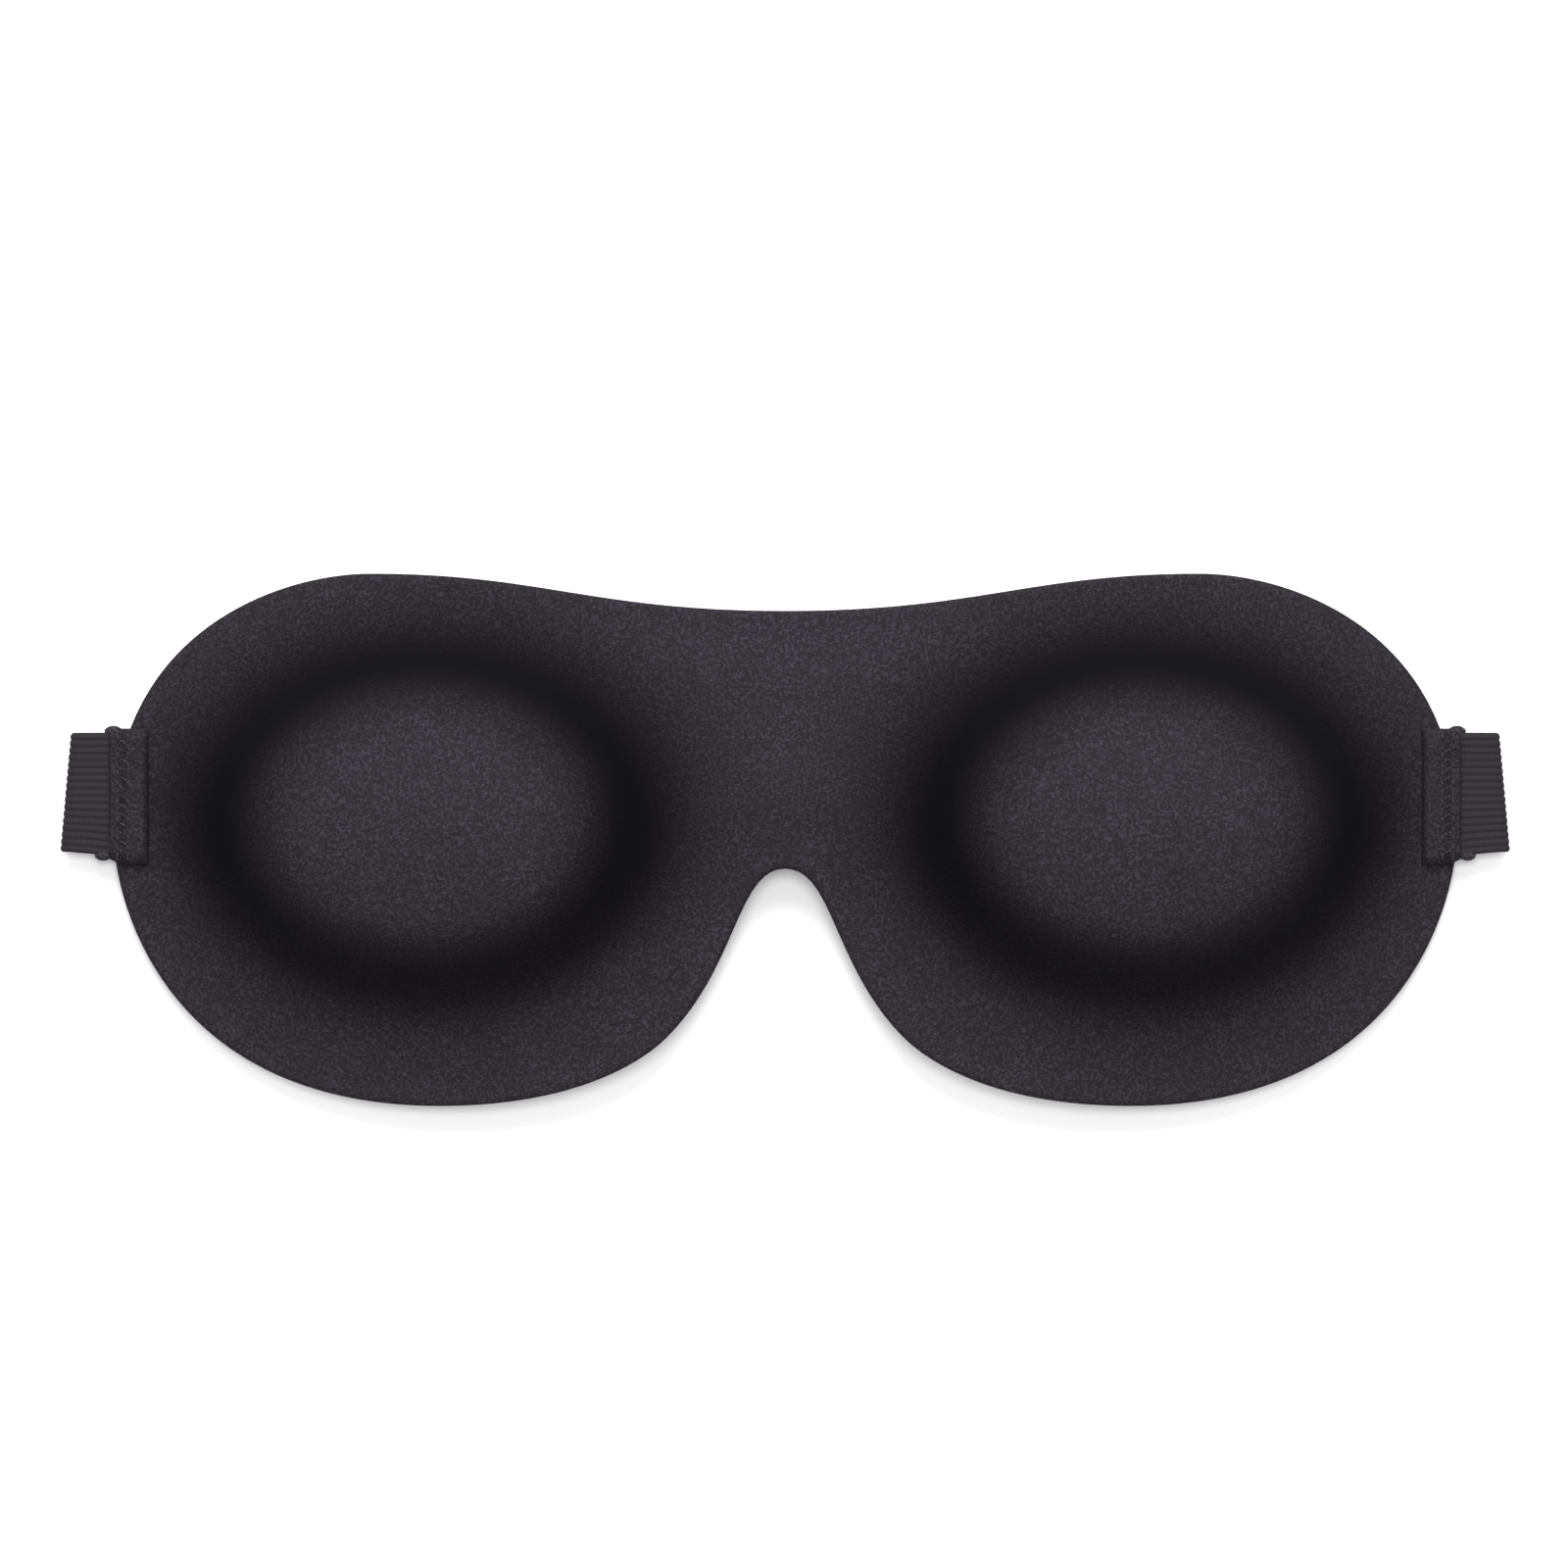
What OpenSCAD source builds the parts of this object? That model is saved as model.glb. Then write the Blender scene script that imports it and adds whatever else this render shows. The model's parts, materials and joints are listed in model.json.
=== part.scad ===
// Contoured sleep eye mask: a moulded three-layer pad with two eye cups and a nose notch,
// and two ribbed elastic head straps that fold under it and fasten with hook and loop.
// Millimetres. It lies on its back: +Z is the front, +Y the forehead edge, X runs across the face.

/* [Outline] */
// Half of the pad's width
half_width = 113.9; // [111:0.1:117]
// Y of the top edge at the middle
brow_mid_y = 38.6; // [37:0.1:40]
// Y of the top edge above each eye
brow_peak_y = 45; // [43:0.1:47]
// Y of the bottom edge below each eye
cheek_y = -45; // [-47:0.1:-43]
// Y of the top of the nose notch
notch_y = -4.9; // [-7:0.1:-4.5]

/* [Pad] */
// Height of the pad's back above the table at its two ends
end_lift = 2.8; // [2.75:0.05:4]
// How much higher the middle of the pad stands than its ends
arch_rise = 6; // [3:0.1:9]
// Full thickness of the padded flange
pad_t = 3.8; // [3.4:0.1:6]
// Thickness of the pressed rim
rim_t = 1.9; // [1.7:0.05:2.1]
// Thickness of each cover fabric
cover_t = 0.5; // [0.4:0.05:0.6]
// Distance over which the rim swells to full thickness
swell_w = 14; // [8:0.5:16]

/* [Eye cups] */
// X of each cup's centre
cup_x = 60.2; // [58:0.1:63]
// Y of each cup's centre
cup_y = 3.3; // [1:0.1:6]
// Half length of the ring where a cup's wall is steepest
cup_a = 34.2; // [32:0.1:37]
// Half height of that ring
cup_b = 26.2; // [24:0.1:28]
// Rise of the cup's wall
cup_rise = 15; // [10:0.1:17]
// Extra rise of the domed top
crown_rise = 5; // [2:0.1:6]
// Half of the band in which the wall bends up and levels out again
wall_w = 13; // [10:0.1:13]
// How much smaller the cavity's ring is than the outer ring
wall_inset = 3; // [2:0.1:4]

/* [Straps] */
// Width of the elastic
strap_w = 20.2; // [18:0.1:21]
// Thickness of the elastic
strap_t = 1.2; // [1:0.05:1.3]
// Y of the strap's centre line
strap_y = 8; // [7:0.1:9]
// Spacing of the lengthwise ribs
rib_pitch = 1.2; // [1:0.1:2]
// Depth of the grooves between ribs
rib_depth = 0.2; // [0.1:0.05:0.3]
// X of the fold's axis at the strap's centre line
fold_x = 119.6; // [119:0.1:123]
// How much further out the fold stands at its lower edge than at its upper edge
fold_lean = 1.8; // [0:0.1:2.5]
// Half of the gap between the two tips
tip_x = 2.5; // [1.5:0.1:10]

/* [Side tabs] */
// X of a tab's inner edge
tab_in_x = 107.8; // [107:0.1:109]
// X of a tab's outer edge
tab_out_x = 114.4; // [114:0.1:115.5]
// Y of a tab's lower edge
tab_low_y = -4.4; // [-6:0.1:-4]
// Y of a tab's upper edge
tab_high_y = 18.8; // [18.6:0.1:20]
// Thickness of a tab's fabric
tab_t = 0.8; // [0.5:0.05:1.2]
// Radius of a tab's corners
tab_r = 0.8; // [0.3:0.1:1.5]

/* [Closure] */
// Length of the hook patch
hook_len = 40; // [25:1:50]
// Length of the loop patch
loop_len = 80; // [40:1:95]
// Width of both patches
patch_w = 18; // [14:0.5:18]
// Thickness of both patches
patch_t = 1.2; // [1:0.05:1.2]
// Length of the folded hem at the right tip
hem_len = 12; // [8:0.5:20]

/* [Hidden] */
cover_colour = [0.13, 0.12, 0.14];
foam_colour = [0.18, 0.18, 0.19];
lining_colour = [0.1, 0.1, 0.11];
strap_colour = [0.12, 0.12, 0.13];
thread_colour = [0.2, 0.19, 0.22];
patch_colour = [0.09, 0.09, 0.1];

// outline curve handles, each along its curve's tangent
brow_mid_handle = 32.6;
brow_peak_in_handle = 29;
brow_peak_out_handle = 15;
side_up_handle = 33.6;
side_down_handle = 14.6;
cheek_out_handle = 45;
cheek_in_handle = 24.6;
// widest point of the pad
side_y = 2;
// lowest point of each lobe
cheek_x = 58.7;
// corner between a lobe and the nose notch, with its two handles as offsets
nose_corner = [19.8, -33.2];
nose_out_handle = [3.3, -3.4];
nose_in_handle = [-12, 12.2];
notch_handle = 8.1;
brow_peak_x = 70.3;

// the pad's grid: columns to the end of the arch, columns beyond it, and rows
mid_n = 24;
end_n = 4;
row_n = 18;
// the last column stands this far inside the widest point, which its bulge reaches
end_inset = 0.5;
bulge_gain = 4;
solve_steps = 16;
slope_step = 0.1;
// the end of the arch, and of the flat pressed band under each tab
arch_end_x = 107.5;
arch_power = 1.3;
cup_mean_r = 30;
side_gain = 1.5;
// the wall's S-curve is the integral of (1 - t^2)^4, which ends at this value
wall_norm = 128 / 315;
// clearance between the pressed band and what is sewn on it
band_gap = 0.15;

// layers under and in the fold
run_z = patch_t;
stub_z = end_lift + rim_t + band_gap;
run_mid_z = run_z + strap_t / 2;
stub_mid_z = stub_z + strap_t / 2;
fold_z = (run_mid_z + stub_mid_z) / 2;
fold_mid_r = (stub_mid_z - run_mid_z) / 2;
strap_lo_y = strap_y - strap_w / 2;
strap_hi_y = strap_y + strap_w / 2;
// where the flat runs end and the fold begins
fold_straight = 1.2;
fold_in_x = fold_x - fold_lean / 2 - fold_straight;
// the elastic's cut end, under the tab's inner margin
tab_margin = 1.3;
stub_in_x = tab_in_x + tab_margin;
tab_gap = 0.05;
tab_top_z = stub_z + strap_t + tab_gap + tab_t;
tab_slot_gap = 0.1;
// cutting shapes stand this far past what they cut
cut_over = 1;
turn_sides = 48;
corner_sides = 24;

// stitches
stitch_w = 0.4;
stitch_h = 0.15;
tab_stitch_len = 1.3;
tab_stitch_pitch = 1.95;
tab_stitch_xs = [111.1, 112.9];
patch_stitch_len = 1.8;
patch_stitch_pitch = 2.6;
patch_stitch_inset = 1.5;

// ---- outline -------------------------------------------------------------

function bezier(p, t) =
    let (s = 1 - t)
    s * s * s * p[0] + 3 * s * s * t * p[1] + 3 * s * t * t * p[2] + t * t * t * p[3];

// the curve's parameter at a given x, where x grows along the curve
function solve_t(p, x, lo, hi, left) =
    let (mid = (lo + hi) / 2)
    left == 0 ? mid
    : bezier(p, mid).x < x ? solve_t(p, x, mid, hi, left - 1)
    : solve_t(p, x, lo, mid, left - 1);

function y_at(p, x) = bezier(p, solve_t(p, x, 0, 1, solve_steps)).y;

brow_mid = [0, brow_mid_y];
brow_peak = [brow_peak_x, brow_peak_y];
side = [half_width, side_y];
cheek = [cheek_x, cheek_y];
notch = [0, notch_y];

brow_curve = [
    brow_mid,
    brow_mid + [brow_mid_handle, 0],
    brow_peak - [brow_peak_in_handle, 0],
    brow_peak
];
temple_curve = [
    brow_peak,
    brow_peak + [brow_peak_out_handle, 0],
    side + [0, side_up_handle],
    side
];
cheek_curve = [
    cheek,
    cheek + [cheek_out_handle, 0],
    side - [0, side_down_handle],
    side
];
lobe_curve = [
    nose_corner,
    nose_corner + nose_out_handle,
    cheek - [cheek_in_handle, 0],
    cheek
];
notch_curve = [
    notch,
    notch + [notch_handle, 0],
    nose_corner + nose_in_handle,
    nose_corner
];

function top_y(x) = x < brow_peak_x ? y_at(brow_curve, x) : y_at(temple_curve, x);

function bottom_y(x) =
    x < nose_corner.x ? y_at(notch_curve, x)
    : x < cheek_x ? y_at(lobe_curve, x)
    : y_at(cheek_curve, x);

// ---- surfaces of the pad -------------------------------------------------

function arch(x) = arch_rise * pow(max(0, 1 - pow(x / arch_end_x, 2)), arch_power);

// an S-curve from 1 down to 0 that is flat at both ends, for t from -1 to 1
function s_curve(t) =
    let (s = min(1, max(-1, t)), q = s * s)
    0.5 - 0.5 * s * (1 - q * 4 / 3 + q * q * 6 / 5 - q * q * q * 4 / 7 + q * q * q * q / 9) / wall_norm;

// a cup: a soft S-shaped wall around an ellipse, with a domed top
function cup(x, y, a, b) =
    let (
        r = norm([(abs(x) - cup_x) / a, (y - cup_y) / b]),
        u = (r - 1) * cup_mean_r
    )
    cup_rise * s_curve(u / wall_w) + crown_rise * pow(max(0, 1 - r * r), 2);

// how much a fabric of even thickness measures straight down on the cup's slope
function steep(x, y, a, b) =
    norm([
        (cup(x + slope_step, y, a, b) - cup(x - slope_step, y, a, b)) / (2 * slope_step),
        (cup(x, y + slope_step, a, b) - cup(x, y - slope_step, a, b)) / (2 * slope_step),
        1
    ]);

function smooth(t) = let (s = min(1, max(0, t))) s * s * (3 - 2 * s);

// thickness at a distance from the outline
function thick(x, edge) =
    let (side_edge = side_gain * max(0, arch_end_x - abs(x)))
    rim_t + (pad_t - rim_t) * smooth(min(edge, side_edge) / swell_w);

// the four surfaces, from the back of the lining to the front of the cover
function surface_z(level, x, y, edge) =
    let (
        in_a = cup_a - wall_inset,
        in_b = cup_b - wall_inset,
        back = end_lift + arch(x) + cup(x, y, in_a, in_b),
        front = end_lift + arch(x) + thick(x, edge) + cup(x, y, cup_a, cup_b)
    )
    level == 0 ? back
    : level == 1 ? back + cover_t * steep(x, y, in_a, in_b)
    : level == 2 ? front - cover_t * steep(x, y, cup_a, cup_b)
    : front;

end_x = half_width - end_inset;
half_columns = concat(
    [for (i = [1:mid_n]) arch_end_x * i / mid_n],
    [for (k = [1:end_n]) arch_end_x + (end_x - arch_end_x) * k / end_n]
);
columns = concat(
    [for (i = [len(half_columns) - 1:-1:0]) -half_columns[i]],
    [0],
    half_columns
);
rows = [for (j = [0:row_n]) (1 - cos(180 * j / row_n)) / 2];
column_count = len(columns);
row_count = len(rows);
tops = [for (x = columns) top_y(abs(x))];
bottoms = [for (x = columns) bottom_y(abs(x))];

// the end columns bulge out to the full width
function bulge(i, v) =
    i == 0 ? -bulge_gain * end_inset * v * (1 - v)
    : i == column_count - 1 ? bulge_gain * end_inset * v * (1 - v)
    : 0;

function sheet_points(level) = [
    for (i = [0:column_count - 1]) for (j = [0:row_count - 1])
    let (
        x = columns[i],
        y = bottoms[i] + (tops[i] - bottoms[i]) * rows[j],
        edge = min(y - bottoms[i], tops[i] - y)
    )
    [x + bulge(i, rows[j]), y, surface_z(level, x, y, edge)]
];

function grid_id(i, j) = i * row_count + j;

// a closed layer between two of the four surfaces
module layer(low, high) {
    half = column_count * row_count;
    low_faces = [
        for (i = [0:column_count - 2]) for (j = [0:row_count - 2]) each [
            [grid_id(i, j), grid_id(i + 1, j), grid_id(i + 1, j + 1)],
            [grid_id(i, j), grid_id(i + 1, j + 1), grid_id(i, j + 1)]
        ]
    ];
    high_faces = [for (f = low_faces) [f[0] + half, f[2] + half, f[1] + half]];
    rim = concat(
        [for (j = [0:row_count - 1]) grid_id(0, j)],
        [for (i = [1:column_count - 1]) grid_id(i, row_count - 1)],
        [for (j = [row_count - 2:-1:0]) grid_id(column_count - 1, j)],
        [for (i = [column_count - 2:-1:1]) grid_id(i, 0)]
    );
    rim_faces = [
        for (k = [0:len(rim) - 1])
        let (p = rim[k], q = rim[(k + 1) % len(rim)])
        each [[p, q, q + half], [p, q + half, p + half]]
    ];
    polyhedron(concat(sheet_points(low), sheet_points(high)),
               concat(low_faces, high_faces, rim_faces), convexity = 6);
}

module outer_cover() {
    color(cover_colour)
    layer(2, 3);
}

module foam_pad() {
    color(foam_colour)
    layer(1, 2);
}

module inner_cover() {
    color(lining_colour)
    layer(0, 1);
}

// ---- straps --------------------------------------------------------------

rib_n = round(strap_w / rib_pitch);
rib_steps = [0, 0.25, 0.5, 0.75];

// height of the ribbed face above the strap's middle plane
function rib_z(v) = strap_t / 2 - rib_depth / 2 * (1 + cos(360 * v * rib_n));

rib_vs = concat([for (k = [0:rib_n - 1]) for (s = rib_steps) (k + s) / rib_n], [1]);

// the elastic's cross-section: across the strap, and through its thickness
function strap_profile() = concat(
    [for (v = rib_vs) [-rib_z(v), (v - 0.5) * strap_w]],
    [for (k = [len(rib_vs) - 1:-1:0]) [rib_z(rib_vs[k]), (rib_vs[k] - 0.5) * strap_w]]
);

// a flat run of elastic from x0 to x1, with its middle plane at z
module flat_run(x0, x1, z) {
    translate([x1, strap_y, z])
    rotate([0, -90, 0])
    linear_extrude(x1 - x0)
    polygon(strap_profile());
}

// mirrors its child to the left or leaves it on the right
module on_side(left) {
    mirror([left ? 1 : 0, 0, 0])
    children();
}

module strap_stub() {
    color(strap_colour)
    flat_run(stub_in_x, fold_in_x, stub_mid_z);
}

function fold_axis_x(y) = fold_x - fold_lean * (y - strap_y) / strap_w;

// the flat ends of the fold: a run from the fold's start to its leaning axis
module fold_run(z) {
    translate([0, 0, z - strap_t / 2])
    linear_extrude(strap_t)
    polygon([
        [fold_in_x, strap_lo_y],
        [fold_axis_x(strap_lo_y), strap_lo_y],
        [fold_axis_x(strap_hi_y), strap_hi_y],
        [fold_in_x, strap_hi_y]
    ]);
}

// the half turn, leaned over by a shear
module fold_turn() {
    lean = -fold_lean / strap_w;
    outer_r = fold_mid_r + strap_t / 2;
    translate([fold_x, strap_y, fold_z])
    multmatrix([[1, lean, 0, 0], [0, 1, 0, 0], [0, 0, 1, 0], [0, 0, 0, 1]])
    rotate([90, 0, 0])
    translate([0, 0, -strap_w / 2])
    difference() {
        cylinder(h = strap_w, r = outer_r, $fn = turn_sides);
        translate([0, 0, -cut_over])
        cylinder(h = strap_w + 2 * cut_over, r = fold_mid_r - strap_t / 2, $fn = turn_sides);
        translate([-outer_r - cut_over, -outer_r - cut_over, -cut_over])
        cube([outer_r + cut_over, 2 * (outer_r + cut_over), strap_w + 2 * cut_over]);
    }
}

module strap_fold() {
    color(strap_colour) {
        fold_run(stub_mid_z);
        fold_run(run_mid_z);
        fold_turn();
    }
}

module return_run() {
    color(strap_colour)
    flat_run(tip_x, fold_in_x, run_mid_z);
}

module strap_stub_left() {
    on_side(true)
    strap_stub();
}

module strap_stub_right() {
    on_side(false)
    strap_stub();
}

module strap_fold_left() {
    on_side(true)
    strap_fold();
}

module strap_fold_right() {
    on_side(false)
    strap_fold();
}

module strap_left() {
    on_side(true)
    return_run();
}

// the right tip is turned back on its outer face and sewn down
module strap_right() {
    return_run();
    color(strap_colour)
    translate([tip_x, strap_lo_y, 0])
    cube([hem_len, strap_w, run_z + strap_t / 2 - rib_depth / 2]);
}

// ---- side tabs -----------------------------------------------------------

module side_tab() {
    color(cover_colour)
    difference() {
        translate([tab_in_x + tab_r, tab_low_y + tab_r, stub_z])
        linear_extrude(tab_top_z - stub_z)
        rounded_rect(tab_out_x - tab_in_x - 2 * tab_r, tab_high_y - tab_low_y - 2 * tab_r);
        translate([stub_in_x - tab_slot_gap, strap_lo_y - tab_slot_gap, stub_z - cut_over])
        cube([
            tab_out_x - stub_in_x + tab_slot_gap + cut_over,
            strap_w + 2 * tab_slot_gap,
            strap_t + tab_gap + cut_over
        ]);
    }
}

// a rounded rectangle made of two bars and four corner discs
module rounded_rect(w, h) {
    translate([-tab_r, 0])
    square([w + 2 * tab_r, h]);
    translate([0, -tab_r])
    square([w, h + 2 * tab_r]);
    for (x = [0, w]) for (y = [0, h])
    translate([x, y])
    circle(r = tab_r, $fn = corner_sides);
}

module side_tab_left() {
    on_side(true)
    side_tab();
}

module side_tab_right() {
    on_side(false)
    side_tab();
}

module stitch(x, y, z, long_x, long_y) {
    translate([x - long_x / 2, y - long_y / 2, z])
    cube([long_x, long_y, stitch_h]);
}

module tab_stitches() {
    span = tab_high_y - tab_low_y - tab_stitch_pitch;
    n = floor(span / tab_stitch_pitch);
    mid = (tab_high_y + tab_low_y) / 2;
    color(thread_colour)
    for (x = tab_stitch_xs) for (k = [0:n])
    stitch(x, mid + (k - n / 2) * tab_stitch_pitch, tab_top_z, stitch_w, tab_stitch_len);
}

module tab_stitches_left() {
    on_side(true)
    tab_stitches();
}

module tab_stitches_right() {
    on_side(false)
    tab_stitches();
}

// ---- closure -------------------------------------------------------------

module patch(len, z) {
    translate([tip_x, strap_y - patch_w / 2, z])
    cube([len, patch_w, patch_t]);
}

// a box of stitches around a patch
module box_stitches(len, z) {
    box_x = len - 2 * patch_stitch_inset;
    box_y = patch_w - 2 * patch_stitch_inset;
    mid_x = tip_x + len / 2;
    nx = floor(box_x / patch_stitch_pitch);
    ny = floor(box_y / patch_stitch_pitch) - 1;
    for (k = [0:nx]) for (edge = [-1, 1])
    stitch(mid_x + (k - nx / 2) * patch_stitch_pitch, strap_y + edge * box_y / 2, z,
           patch_stitch_len, stitch_w);
    for (k = [0:ny]) for (end = [-1, 1])
    stitch(mid_x + end * box_x / 2, strap_y + (k - ny / 2) * patch_stitch_pitch, z,
           stitch_w, patch_stitch_len);
}

module hook_patch() {
    color(patch_colour)
    patch(hook_len, run_z + strap_t);
}

module loop_patch() {
    color(patch_colour)
    on_side(true)
    patch(loop_len, 0);
}

module hook_stitches() {
    color(thread_colour)
    box_stitches(hook_len, run_z + strap_t + patch_t);
}

module loop_stitches() {
    color(thread_colour)
    on_side(true)
    box_stitches(loop_len, run_z + strap_t);
}

outer_cover();
foam_pad();
inner_cover();
side_tab_left();
side_tab_right();
tab_stitches_left();
tab_stitches_right();
strap_stub_left();
strap_stub_right();
strap_fold_left();
strap_fold_right();
strap_left();
strap_right();
loop_patch();
loop_stitches();
hook_patch();
hook_stitches();
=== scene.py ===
"""Looks of a contoured sleep eye mask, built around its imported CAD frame.

The mask lies on its back on a pale table: +Z is its front, +Y the forehead edge and X runs
across the face. Shapes are worked out in millimetres and turned to metres when a mesh is made.
"""

import json
import logging
import math
from collections.abc import Mapping, Sequence
from dataclasses import dataclass, field
from enum import Enum

import bpy
import numpy as np
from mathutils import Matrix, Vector


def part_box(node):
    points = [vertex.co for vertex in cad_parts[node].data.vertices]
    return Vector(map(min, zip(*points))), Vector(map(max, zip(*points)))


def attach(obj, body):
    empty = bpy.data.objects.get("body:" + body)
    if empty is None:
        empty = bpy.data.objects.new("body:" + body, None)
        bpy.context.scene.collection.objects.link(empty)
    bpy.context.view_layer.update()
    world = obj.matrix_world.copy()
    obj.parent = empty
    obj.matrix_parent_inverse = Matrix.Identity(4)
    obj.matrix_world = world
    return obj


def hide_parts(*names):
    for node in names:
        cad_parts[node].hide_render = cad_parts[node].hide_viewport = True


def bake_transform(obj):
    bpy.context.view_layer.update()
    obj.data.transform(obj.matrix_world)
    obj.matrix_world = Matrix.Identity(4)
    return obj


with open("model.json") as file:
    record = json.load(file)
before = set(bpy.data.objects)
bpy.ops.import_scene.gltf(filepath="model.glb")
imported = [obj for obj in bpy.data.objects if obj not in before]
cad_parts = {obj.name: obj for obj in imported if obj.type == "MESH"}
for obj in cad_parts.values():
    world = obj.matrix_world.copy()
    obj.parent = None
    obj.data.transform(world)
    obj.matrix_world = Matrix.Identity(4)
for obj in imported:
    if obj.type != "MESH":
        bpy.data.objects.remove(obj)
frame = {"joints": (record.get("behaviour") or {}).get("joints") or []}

LOG = logging.getLogger("eye_mask")
MM = 0.001
UP = np.array([0.0, 0.0, 1.0])

# sockets of the Mix node when it mixes colours
MIX_FACTOR, MIX_A, MIX_B, MIX_RESULT = 0, 6, 7, 2

Piece = bpy.types.Object
Material = bpy.types.Material
Tree = bpy.types.NodeTree
Socket = bpy.types.NodeSocket


class Side(Enum):
    """A side of the mask, with the sign of its X."""

    LEFT = -1
    RIGHT = 1


class Body(Enum):
    """The CAD bodies that pieces ride on."""

    MASK = "mask"
    LEFT_STRAP = "left_strap"
    RIGHT_STRAP = "right_strap"


class Slot(Enum):
    """The record's material slots."""

    COVER = "cover_knit"
    FOAM = "foam"
    LINING = "lining"
    ELASTIC = "elastic"
    THREAD = "thread"
    LOOPS = "loop_tape"
    HOOKS = "hook_tape"


# ---- small tools ---------------------------------------------------------


def linear(hex_colour: str) -> tuple[float, float, float, float]:
    """Turn an sRGB hex colour to linear light.

    Args:
        hex_colour: six hex digits after a hash.

    Returns:
        Linear red, green, blue and an alpha of 1.
    """
    parts = [int(hex_colour[i : i + 2], 16) / 255 for i in (1, 3, 5)]
    red, green, blue = (
        p / 12.92 if p <= 0.04045 else ((p + 0.055) / 1.055) ** 2.4 for p in parts
    )
    return red, green, blue, 1.0


def per_mm(size_mm: float) -> float:
    """Give the texture scale, in repeats per metre, of a pattern of that size in millimetres."""
    return 1.0 / (size_mm * MM)


def wave_scale(size_mm: float) -> float:
    """Give the Wave texture's scale for bands that are that many millimetres apart."""
    return math.pi / 10 / (size_mm * MM)


def box_mm(node: str) -> tuple[np.ndarray, np.ndarray]:
    """Give a CAD node's lowest and highest corners in millimetres."""
    low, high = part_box(node)
    return np.array(low) / MM, np.array(high) / MM


def smooth_step(t: np.ndarray) -> np.ndarray:
    """Rise smoothly from 0 to 1 as t goes from 0 to 1."""
    s = np.clip(t, 0.0, 1.0)
    return s * s * (3.0 - 2.0 * s)


def add_node(
    tree: Tree,
    kind: str,
    settings: Mapping[str | int, object] | None = None,
    links: Mapping[str | int, Socket] | None = None,
) -> bpy.types.Node:
    """Add one node with its settings and links.

    Args:
        tree: the node tree that it goes in.
        kind: the node's type.
        settings: its properties and unlinked sockets, by name or index.
        links: its linked sockets, by name or index, with what feeds each.

    Returns:
        The new node.
    """
    node = tree.nodes.new(kind)
    for key, value in (settings or {}).items():
        if isinstance(key, str) and hasattr(node, key):
            setattr(node, key, value)
        else:
            node.inputs[key].default_value = value
    for key, source in (links or {}).items():
        tree.links.new(source, node.inputs[key])
    return node


def place_object(name: str, data: bpy.types.ID) -> bpy.types.Object:
    """Make an object from a mesh, light or camera, and link it to the scene.

    Args:
        name: its name.
        data: what it holds.

    Returns:
        The object.
    """
    thing = bpy.data.objects.new(name, data)
    bpy.context.scene.collection.objects.link(thing)
    return thing


def grid_faces(columns: int, rows: int, start: int = 0, flip: bool = False) -> list[tuple[int, ...]]:
    """Give the quads of a grid whose points go up each column in turn.

    Args:
        columns: how many columns it has.
        rows: how many rows it has.
        start: the number of its first point.
        flip: whether the quads face the other way.

    Returns:
        The quads.
    """
    quads = [
        (start + i * rows + j, start + (i + 1) * rows + j,
         start + (i + 1) * rows + j + 1, start + i * rows + j + 1)
        for i in range(columns - 1)
        for j in range(rows - 1)
    ]
    return [q[::-1] for q in quads] if flip else quads


def rim_loop(columns: int, rows: int) -> list[int]:
    """Give the points round a grid's edge, anticlockwise from its first one.

    Args:
        columns: how many columns the grid has.
        rows: how many rows it has.

    Returns:
        The points' numbers.
    """
    along = [i * rows for i in range(columns)]
    up = [(columns - 1) * rows + j for j in range(1, rows)]
    back = [i * rows + rows - 1 for i in range(columns - 2, -1, -1)]
    return along + up + back + list(range(rows - 2, 0, -1))


def sleeve_faces(rings: int, sides: int) -> list[tuple[int, ...]]:
    """Give the quads of an open sleeve whose points go round each ring in turn.

    Args:
        rings: how many rings it has.
        sides: how many points a ring has.

    Returns:
        The quads.
    """
    return [
        (i * sides + k, i * sides + (k + 1) % sides,
         (i + 1) * sides + (k + 1) % sides, (i + 1) * sides + k)
        for i in range(rings - 1)
        for k in range(sides)
    ]


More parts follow.
